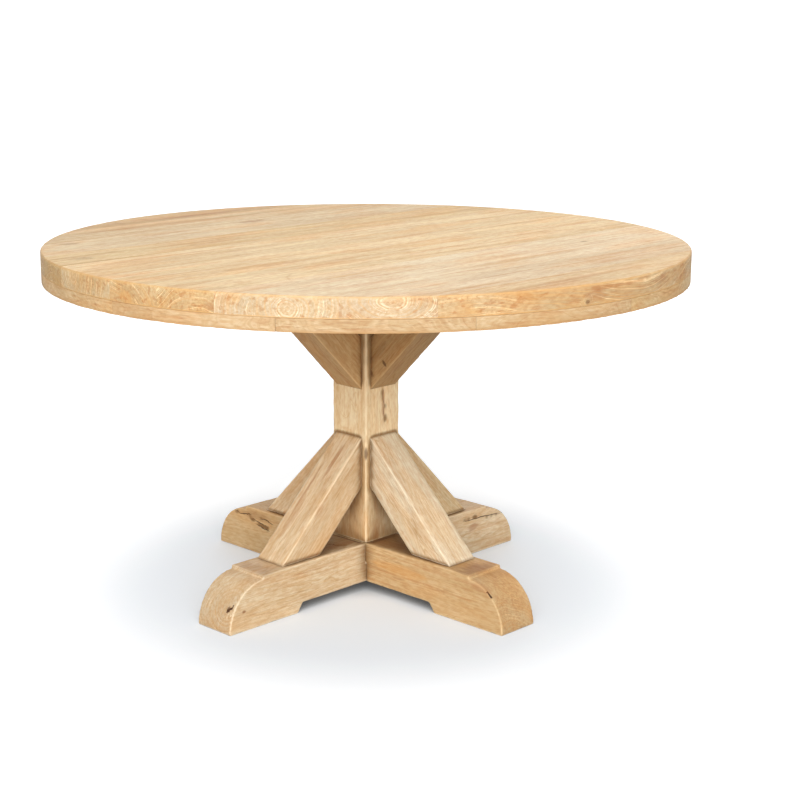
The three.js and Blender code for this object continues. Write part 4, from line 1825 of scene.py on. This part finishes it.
@dataclass(frozen=True)
class LagScrews:
    """The two hexagon-headed lag screws on the post's axis, each on its washer.

    Attributes:
        steel: Their finish.
        head_height: The height of the head.
        across: The radius of the head over its corners.
        shank: The radius over the thread.
        tip: The length of the point.
        pitch: The height of one turn of the thread.
        bore: The radius of the washer's hole.
        rounding: How far the washer's edges are rounded.
        CORE: The bare shank, as a share of the radius over the thread.
        CREST: How far the thread stands out, in the same way.
        BARE: The share of the length without a thread.
        CONE_TOP: The narrow end of the cone that eases the head's corners, as a share of the head.
    """

    steel: SteelFinish
    head_height: float = 0.007
    across: float = 0.017 / math.sqrt(3)
    shank: float = 0.005
    tip: float = 0.010
    pitch: float = 0.0042
    bore: float = 0.0053
    rounding: float = 0.0005

    CORE = 0.76
    CREST = 0.22
    BARE = 0.35
    HEXAGON = 6
    CONE_FACETS = 48
    CONE_TOP = 0.8
    CONE_FOOT = 1.9
    CONE_HEIGHT = 1.2
    CONE_START = -1.02
    SHANK_FACETS = 32
    WASHER_FACETS = 72
    WASHER_ROUNDING = 3

    def build(self) -> None:
        """Makes the screws and their washers."""
        screw_tree, washer_tree = self._screw_tree(), self._washer_tree()
        for place, tilt in (("beam", 0.0), ("bearer", math.pi)):
            node = f"{place}_lag_screw"
            low, high = corners_of(node)
            level = high.z - self.head_height if tilt else low.z + self.head_height
            sizes = {
                "Head Radius": self.across,
                "Head Height": self.head_height,
                "Shank Radius": self.shank,
                "Length": high.z - low.z - self.head_height,
                "Tip": self.tip,
                "Pitch": self.pitch,
                "Tilt": tilt,
            }
            self._make(f"hexagon_{node}", node, screw_tree, level, sizes)
            node = f"{place}_lag_washer"
            low, high = corners_of(node)
            sizes = {
                "Bore": self.bore,
                "Outside": (high.x - low.x) / 2,
                "Thickness": high.z - low.z,
                "Rounding": self.rounding,
                "Tilt": 0.0,
            }
            self._make(f"rounded_{node}", node, washer_tree, (low.z + high.z) / 2, sizes)

    def _make(
        self, name: str, node: str, tree: bpy.types.NodeTree, level: float, sizes: dict[str, Value]
    ) -> None:
        """Makes one fastening on the axis.

        Args:
            name: The piece's name.
            node: The CAD node that it stands for.
            tree: Its Geometry Nodes tree.
            level: The height of its bearing face.
            sizes: The tree's inputs.
        """
        start = bpy.data.meshes.new(name)
        start.from_pydata([(0.0, 0.0, level)], [], [])
        piece = own_object(name, start)
        sizes = sizes | {"Material": self.steel.material(f"{name}_zinc")}
        shape_with(piece, tree, sizes, STEEL_SMOOTH_UNDER)
        hand_over(piece, Slot.STEEL, node)

    def _screw_tree(self) -> bpy.types.NodeTree:
        """Builds the Geometry Nodes tree of a lag screw."""
        takes = GEOMETRY | inputs_of("Float", "Head Radius", "Head Height", "Shank Radius", "Length")
        takes |= inputs_of("Float", "Tip", "Pitch", "Tilt")
        takes |= {"Material": "Material"}
        g = Graph.group("lag_screw", "GeometryNodeTree", takes, GEOMETRY)
        height, length = g.taken["Head Height"], g.taken["Length"]
        core = g.times(g.taken["Shank Radius"], self.CORE)
        crest = g.times(g.taken["Shank Radius"], self.CREST)
        outer = g.times(height, -1.0)
        hexagon = {"Vertices": self.HEXAGON, "Radius": g.taken["Head Radius"], "Depth": height}
        solid = along_z(g, "Cylinder", outer, hexagon)
        dome = {
            "Vertices": self.CONE_FACETS,
            "Radius Bottom": g.times(g.taken["Head Radius"], self.CONE_TOP),
            "Radius Top": g.times(g.taken["Head Radius"], self.CONE_FOOT),
            "Depth": g.times(height, self.CONE_HEIGHT),
        }
        cone = along_z(g, "Cone", g.times(height, self.CONE_START), dome)
        head = g.add("GeometryNodeMeshBoolean", operation="INTERSECT", solver="EXACT")
        g.feed(head.inputs["Mesh 2"], solid)
        g.feed(head.inputs["Mesh 2"], cone)
        shank_end = g.minus(length, g.taken["Tip"])
        foot = g.times(height, -0.5)
        shank, tip = pointed_shank(g, self.SHANK_FACETS, core, foot, shank_end)
        bare = g.times(length, self.BARE)
        winding = thread(g, core, crest, bare, g.minus(shank_end, bare), g.taken["Pitch"])
        return at_each_seat(g, joined_geometry(g, (head.outputs["Mesh"], shank, tip, winding)))

    def _washer_tree(self) -> bpy.types.NodeTree:
        """Builds the Geometry Nodes tree of a washer."""
        takes = GEOMETRY | inputs_of("Float", "Bore", "Outside", "Thickness", "Rounding", "Tilt")
        takes |= {"Material": "Material"}
        g = Graph.group("washer", "GeometryNodeTree", takes, GEOMETRY)
        middle = g.times(g.plus(g.taken["Outside"], g.taken["Bore"]), 0.5)
        circle = {"Resolution": self.WASHER_FACETS, "Radius": middle}
        path = g.add("GeometryNodeCurvePrimitiveCircle", circle, mode="RADIUS")
        upright = g.add("GeometryNodeSetCurveNormal", {"Curve": path.outputs[0]}, mode="Z_UP").outputs[0]
        width = g.minus(g.taken["Outside"], g.taken["Bore"])
        flat = {"Width": width, "Height": g.taken["Thickness"]}
        bar = g.add("GeometryNodeCurvePrimitiveQuadrilateral", flat, mode="RECTANGLE").outputs[0]
        fillet = {"Curve": bar, "Count": self.WASHER_ROUNDING, "Radius": g.taken["Rounding"]}
        eased = g.add("GeometryNodeFilletCurve", fillet, mode="POLY").outputs[0]
        ring = g.add("GeometryNodeCurveToMesh", {"Curve": upright, "Profile Curve": eased}).outputs[0]
        return at_each_seat(g, ring)


# ---- Studio ----


@dataclass(frozen=True)
class SoftLight:
    """A broad, far light.

    Attributes:
        azimuth: Where it comes from, in degrees about Z from -Y towards +X.
        elevation: Its height above the floor, in degrees.
        strength: How bright it is.
        spread: How broad it is, in degrees.
    """

    azimuth: float
    elevation: float
    strength: float
    spread: float

    def build(self, name: str) -> None:
        """Hangs the light."""
        sun = bpy.data.lights.new(name, "SUN")
        sun.energy = self.strength
        sun.angle = math.radians(self.spread)
        lamp = bpy.data.objects.new(name, sun)
        tilt = math.radians(90.0 - self.elevation)
        lamp.rotation_euler = (tilt, 0.0, math.radians(self.azimuth))
        bpy.context.scene.collection.objects.link(lamp)


@dataclass(frozen=True)
class Studio:
    """A pale floor under soft light, with painted shadows and a painted glow on it, and the camera.

    Attributes:
        lights: The lights.
        surroundings: How bright the pale surroundings are.
        floor_near: The floor's colour near the table, darker in its red and green as part of the painted
            shadow pool, and cooler, which makes up for the wood's warm light.
        floor_far: Its colour far from the table.
        floor_bounce: The light that it gives back to the table, less than that of the floor itself.
        floor_glow: A painted glow that brightens the floor for the camera alone, under the table and far from
            it; weaker under it, which paints the shadow pool.
        pool: The painted shadow pool round the table: how far from its axis the far colour and glow begin to
            show, and where they are all there is.
        contact: How far the painted contact shadow at the feet of the table reaches.
        floor_half: How far the floor reaches behind the table. It reaches further on the near side.
        camera_at: The camera's place.
        camera_pitch: How far it looks down, in degrees.
        camera_turn: Its turn about Z, in degrees.
        lens: Its focal length on a 36 mm frame.
        shift: How far its frame is shifted sideways.
        SENSOR: The width of that frame, in millimetres.
        BACKDROP: How bright the surroundings look.
        FAR_SIDE: How much further the floor reaches on the near side.
        CONTACT_SHADE: The openness at which the painted contact shadow makes the floor black at the feet, and
            that at which it is clear.
    """

    lights: dict[str, SoftLight]
    surroundings: float
    floor_near: Triple = (0.68, 0.745, 0.815)
    floor_far: Triple = (0.76, 0.78, 0.8)
    floor_bounce: Triple = (0.55, 0.55, 0.55)
    floor_glow: tuple[float, float] = (0.2, 0.5)
    pool: tuple[float, float] = (0.42, 0.82)
    contact: float = 0.09
    floor_half: float = 120.0
    camera_at: Triple = (-2.5391, -2.5391, 1.2693)
    camera_pitch: float = 13.407
    camera_turn: float = -45.0
    lens: float = 75.92
    shift: float = 0.0425

    SENSOR = 36.0
    BACKDROP = 1.2
    FLOOR_ROUGHNESS = 0.9
    FLOOR_SHEEN = 0.2
    FAR_SIDE = 1.5
    CONTACT_SHADE = (-0.2, 0.65)

    def build(self) -> None:
        """Sets up the studio."""
        self._floor()
        for name, light in self.lights.items():
            light.build(name)
        scene = bpy.context.scene
        world = bpy.data.worlds.new("pale_studio")
        g = Graph.of(world)
        glow = g.add("ShaderNodeBackground", {"Color": WHITE, "Strength": self.surroundings})
        seen = g.add("ShaderNodeBackground", {"Color": WHITE, "Strength": self.BACKDROP})
        ray = g.add("ShaderNodeLightPath").outputs["Is Camera Ray"]
        both = g.add("ShaderNodeMixShader", {0: ray, 1: glow.outputs[0], 2: seen.outputs[0]})
        g.add("ShaderNodeOutputWorld", {"Surface": both.outputs[0]})
        scene.world = world
        scene.view_settings.view_transform = "Standard"
        lens = bpy.data.cameras.new("camera")
        lens.lens = self.lens
        lens.sensor_width = self.SENSOR
        lens.shift_x = self.shift
        camera = bpy.data.objects.new("camera", lens)
        camera.location = self.camera_at
        turn = (90.0 - self.camera_pitch, 0.0, self.camera_turn)
        camera.rotation_euler = tuple(math.radians(angle) for angle in turn)
        scene.collection.objects.link(camera)
        scene.camera = camera

    def _floor(self) -> None:
        """Lays the floor, with a painted shadow pool round the table, a painted contact shadow at its feet
        and a painted glow that only the camera sees.
        """
        half = self.floor_half
        far = self.FAR_SIDE * half
        corners = [(-half, -far, 0.0), (far, -far, 0.0), (far, half, 0.0), (-half, half, 0.0)]
        mesh = bpy.data.meshes.new("floor")
        mesh.from_pydata(corners, [], [(0, 1, 2, 3)])
        floor = own_object("floor", mesh)
        paint = bpy.data.materials.new("floor_paint")
        g = Graph.of(paint)
        eye = g.add("ShaderNodeLightPath").outputs["Is Camera Ray"]
        away = g.length(g.add("ShaderNodeTexCoord").outputs["Object"])
        # Painted shadow pool: near the table the floor gets a darker colour and less glow.
        beyond = g.rise(away, *self.pool)
        # Painted contact shadow: colour and glow are darkened where the table shuts the floor in.
        opened = g.add("ShaderNodeAmbientOcclusion", {"Distance": self.contact}).outputs["AO"]
        shade = g.rise(opened, *self.CONTACT_SHADE)
        seen_colour = g.scaled(g.mix(beyond, self.floor_near, self.floor_far), shade)
        paint_colour = g.mix(eye, self.floor_bounce, seen_colour)
        matt = {"Base Color": paint_colour, "Roughness": self.FLOOR_ROUGHNESS}
        matt["Specular IOR Level"] = self.FLOOR_SHEEN
        shader = g.add("ShaderNodeBsdfPrincipled", matt)
        # Painted glow that only camera rays see, weaker in the shadow pool.
        near_glow, far_glow = self.floor_glow
        lift = g.times_plus(beyond, far_glow - near_glow, near_glow)
        seen = g.times(g.times(lift, shade), eye)
        glow = g.add("ShaderNodeEmission", {"Color": WHITE, "Strength": seen})
        both = g.add("ShaderNodeAddShader", {0: shader.outputs[0], 1: glow.outputs[0]})
        g.add("ShaderNodeOutputMaterial", {"Surface": both.outputs[0]})
        mesh.materials.append(paint)


# ---- This table's own wood ----


@dataclass(frozen=True)
class Board:
    """One board of the top.

    Attributes:
        finish: Its wood.
        cut: How it was sawn.
        blemishes: The knots and streaks on it.
    """

    finish: WoodFinish
    cut: Cut
    blemishes: tuple[Blemish, ...] = ()


@dataclass(frozen=True)
class RimWood:
    """One segment of the rim.

    Attributes:
        finish: Its wood.
        pith: The log's middle: how deep under its outer face, and how far to the side.
        along: Where on the log it lies.
        blemishes: The knots and streaks on it.
    """

    finish: WoodFinish
    pith: tuple[float, float]
    along: float
    blemishes: tuple[Blemish, ...] = ()


# The arrises of the boards and the rim, as shares of the ground: darker rubbed wear, and on the boards' upper
# arris painted shade that dulls the highlight of its rounding.
EDGE = (0.82, 0.62, 0.42)


def board(
    ground: int, depth: float, aside: float, along: float, *blemishes: Blemish, **figure: float
) -> Board:
    """Grades one board of the top.

    Args:
        ground: The colour of its wood.
        depth: How deep under its upper face's middle the pith lies.
        aside: How far to the front of its middle the pith lies.
        along: Where on the log it lies.
        *blemishes: Its knots and streaks.
        **figure: How its figure differs from the usual.

    Returns:
        The board.
    """
    finish = WoodFinish(ground, bands=0.75, rubbed=EDGE, **figure)
    return Board(finish, Cut((1, 0, 0), (0, 0, 1), (depth, aside), along), blemishes)


BROWN = tone(0x8A5A30)
DARK_KNOT = tone(0x5B3A1E)
REDDISH = tone(0xA8683C)
BOARDS = (
    board(
        0xE6CA9B,
        0.09,
        -0.03,
        1.3,
        Blemish((-0.105, -0.677, 0.729), (0.006, 0.01, 0.005), DARK_KNOT, 0.6, 3.0),
        Blemish((-0.085, -0.68, 0.74), (0.03, 0.02, 0.014), REDDISH, 0.3),
        Blemish((0.13, -0.675, 0.745), (0.035, 0.02, 0.012), REDDISH, 0.35),
    ),
    board(0xE9D3AE, -0.004, 0.004, 7.1, ring=0.006),
    board(
        0xF2DEB9,
        0.005,
        0.018,
        13.4,
        Blemish((0.33, -0.33, 0.762), (0.012, 0.006, 0.01), BROWN, 0.5),
        ring=0.006,
    ),
    board(0xECD3A4, 0.08, 0.03, 19.2, Blemish((-0.636, -0.25, 0.735), (0.02, 0.022, 0.012), REDDISH, 0.35)),
    board(0xEDD3A3, 0.06, -0.04, 24.9),
    board(0xECD4A6, -0.028, -0.0385, 31.7),
    board(0xDFC491, 0.12, 0.02, 37.3, Blemish((-0.57, 0.23, 0.762), (0.03, 0.02, 0.02), BROWN, 0.3)),
    board(
        0xDFC9A1,
        0.07,
        0.035,
        43.8,
        Blemish((0.05, 0.425, 0.762), (0.055, 0.012, 0.02), REDDISH, 0.6, 2.5),
        Blemish((-0.47, 0.42, 0.762), (0.03, 0.02, 0.02), BROWN, 0.35),
    ),
    board(0xDAC196, 0.11, -0.02, 49.5),
    board(0xD1B282, 0.09, 0.01, 55.1, Blemish((0.05, 0.607, 0.762), (0.21, 0.012, 0.02), REDDISH, 0.45)),
)
RIM_GRADES = (
    (0xCEB692, (0.06, 0.01)),
    (0xCBB28D, (0.09, -0.02)),
    (0xD0B996, (0.05, 0.02)),
    (0xCBB28D, (0.07, 0.0)),
    (0xCEB692, (0.08, 0.03)),
    (0xD5B88B, (0.05, -0.01)),
    (0xCFB48C, (0.07, 0.0)),
    (0xCBB088, (0.04, 0.01)),
    (0xCCB28A, (0.08, -0.02)),
    (0xD5BB8E, (0.06, 0.02)),
    (0xCBB28D, (0.09, 0.0)),
    (0xCEB692, (0.05, 0.01)),
)
RIM_FINISH = WoodFinish(ring=0.005, lines=0.75, bands=0.45, rubbed=EDGE)
RIM_LOG_START = 61.0
RIM_LOG_STEP = 5.3
RIM_WOODS = tuple(
    RimWood(replace(RIM_FINISH, ground=ground), pith, RIM_LOG_START + RIM_LOG_STEP * number)
    for number, (ground, pith) in enumerate(RIM_GRADES)
)
TIMBER = WoodFinish(0xDFBD8E, ring=0.005, lines=0.8, bands=0.4, flecks=0.3, relief=0.0005)


def toned(ground: int, **figure: float) -> WoodFinish:
    """The timbers' usual wood in another colour."""
    return replace(TIMBER, ground=ground, **figure)


POST = Post(
    toned(0xF5DEB4, bands=0.3, sway=0.05),
    Cut((0, 0, 1), (-1, -1, 0), (0.07, 0.03), 2.2),
    (
        Blemish((-0.051, -0.051, 0.31), (0.016, 0.007, 0.007), DARK_KNOT, 0.75, 1.5),
        Blemish((0.002, -0.051, 0.41), (0.05, 0.004, 0.01), REDDISH, 0.5),
        Blemish((-0.02, -0.051, 0.125), (0.03, 0.03, 0.01), BROWN, 0.5),
    ),
    (Crack((0.004, -0.051, 0.365), (0.001, -0.051, 0.45), (0.0, 0.009, 0.0), 0.0018, 5),),
)
BRACES = Braces(
    {
        (Level.LOWER, Arm.RIGHT): BraceWood(toned(0xDAC7A1), (0.08, 0.01), 3.1),
        (Level.LOWER, Arm.BACK): BraceWood(toned(0xE4CCA7), (0.05, 0.03), 8.6),
        (Level.LOWER, Arm.LEFT): BraceWood(
            toned(0xDBC5A2, sway=0.02),
            (0.09, -0.02),
            14.3,
            (
                Blemish((-0.1, -0.004, 0.298), (0.06, 0.006, 0.01), REDDISH, 0.5),
                Blemish((-0.165, 0.021, 0.233), (0.09, 0.004, 0.01), REDDISH, 0.5),
                Blemish((-0.21, 0.012, 0.188), (0.07, 0.007, 0.01), REDDISH, 0.3),
                Blemish((-0.181, -0.04, 0.206), (0.02, 0.01, 0.012), REDDISH, 0.2),
            ),
        ),
        (Level.LOWER, Arm.FRONT): BraceWood(
            toned(0xDFD2B7, sway=0.12, ring=0.006, lines=0.8),
            (0.03, 0.05),
            20.9,
            (Blemish((-0.04, -0.19, 0.17), (0.03, 0.015, 0.02), BROWN, 0.15, 3.0),),
        ),
        # The upper braces' grounds are darker than the lower braces': painted shade for the shadow of the top
        # over them, deepest on the front one.
        (Level.UPPER, Arm.RIGHT): BraceWood(toned(0xCEAB7A), (0.07, 0.02), 27.4),
        (Level.UPPER, Arm.BACK): BraceWood(toned(0xCEAB7A), (0.05, -0.03), 33.8),
        (Level.UPPER, Arm.LEFT): BraceWood(toned(0xCEAB7A, sway=0.1, lines=0.8), (0.05, 0.02), 40.2),
        (Level.UPPER, Arm.FRONT): BraceWood(
            toned(0xBA9869),
            (0.06, 0.0),
            46.7,
            (
                Blemish((-0.04, -0.094, 0.516), (0.004, 0.003, 0.01), DARK_KNOT, 0.8),
                Blemish((-0.04, -0.056, 0.489), (0.006, 0.002, 0.01), DARK_KNOT, 0.6),
                Blemish((-0.04, -0.08, 0.54), (0.05, 0.03, 0.01), DARK_KNOT, 0.25),
            ),
        ),
    }
)
BASE_BEAMS = CrossedPair(
    "base_beam",
    {
        Pair.LEFT_RIGHT: BraceWood(
            toned(0xDAC7A6, sway=0.02, ring=0.006, lines=0.7),
            (0.004, 0.03),
            52.1,
            (
                Blemish((-0.43, -0.033, 0.05), (0.03, 0.005, 0.008), DARK_KNOT, 0.8, 3.0),
                Blemish((-0.405, -0.051, 0.043), (0.006, 0.004, 0.004), BROWN, 0.8),
                Blemish((0.303, -0.051, 0.066), (0.02, 0.008, 0.01), REDDISH, 0.5),
                Blemish((-0.1, -0.02, 0.108), (0.05, 0.02, 0.01), BROWN, 0.45),
                Blemish((-0.056, 0.0, 0.108), (0.006, 0.05, 0.006), DARK_KNOT, 0.7),
                # Painted shade: a brown patch on the beam's top near its foot, where the table shades it.
                Blemish((-0.34, -0.01, 0.108), (0.04, 0.06, 0.006), BROWN, 0.3),
            ),
            (
                Crack((-0.437, -0.042, 0.058), (-0.437, -0.03, 0.044), (0.012, 0.0, 0.0), 0.002, 11),
                Crack((-0.117, 0.004, 0.108), (-0.098, -0.03, 0.108), (0.0, 0.0, -0.01), 0.003, 12),
                Crack((0.25, -0.051, 0.09), (0.42, -0.051, 0.078), (0.0, 0.008, 0.0), 0.0026, 13),
            ),
        ),
        Pair.FRONT_BACK: BraceWood(
            toned(0xD0B386),
            (0.06, -0.01),
            58.8,
            (
                Blemish((-0.051, -0.39, 0.09), (0.05, 0.02, 0.012), REDDISH, 0.3),
                Blemish((-0.051, -0.15, 0.07), (0.09, 0.02, 0.014), tone(0xD59A55), 0.45),
                Blemish((-0.051, 0.31, 0.09), (0.06, 0.012, 0.012), BROWN, 0.35),
                Blemish((-0.02, -0.1, 0.108), (0.05, 0.03, 0.01), BROWN, 0.4),
                Blemish((0.0, -0.056, 0.108), (0.006, 0.05, 0.006), DARK_KNOT, 0.7),
                # Painted shade: a brown patch on the beam's top near its foot, where the table shades it.
                Blemish((-0.01, -0.34, 0.108), (0.04, 0.06, 0.006), BROWN, 0.45),
            ),
            (
                Crack((-0.051, 0.385, 0.09), (-0.051, 0.325, 0.094), (0.012, 0.0, 0.0), 0.003, 14),
                Crack((-0.051, 0.318, 0.073), (-0.051, 0.262, 0.062), (0.012, 0.0, 0.0), 0.003, 15),
                Crack((-0.051, 0.3, 0.086), (-0.051, 0.25, 0.082), (0.014, 0.0, 0.0), 0.0035, 16),
                Crack((-0.051, 0.33, 0.082), (-0.051, 0.27, 0.074), (0.012, 0.0, 0.0), 0.0024, 17),
                Crack((-0.051, -0.401, 0.085), (-0.051, -0.425, 0.071), (0.006, 0.0, 0.0), 0.002, 18),
            ),
        ),
    },
    Wear(),
    31.0,
)
BEARERS = CrossedPair(
    "bearer",
    {
        Pair.LEFT_RIGHT: BraceWood(toned(0xD9B585), (0.05, 0.01), 64.4),
        Pair.FRONT_BACK: BraceWood(toned(0xD9B585), (0.08, -0.02), 70.6),
    },
    Wear(facet=0.004, rounding=2),
    41.0,
)
STEEL = SteelFinish()
STUDIO = Studio(
    {
        "key": SoftLight(-45.0, 20.0, 2.46, 50.0),
        "fill": SoftLight(-45.0, 35.0, 1.07, 60.0),
        "back": SoftLight(135.0, 45.0, 0.275, 60.0),
        "rim": SoftLight(135.0, 20.0, 0.58, 60.0),
    },
    0.43,
)


def main() -> None:
    """Builds the table and its studio."""
    logging.basicConfig(level=logging.INFO, format="%(message)s")
    STUDIO.build()
    for top_part in (TableTop(), Rim()):
        top_part.build()
    # Painted shade: how far the table shuts in each place of its timbers.
    corners = Corners()
    for timbers in (BEARERS, POST, BRACES, BASE_BEAMS):
        timbers.build(corners)
    for fastenings in (Dowels(toned(0xDFC79C, ring=0.003)), WoodScrews(STEEL), LagScrews(STEEL)):
        fastenings.build()


if __name__ == "__main__":
    main()
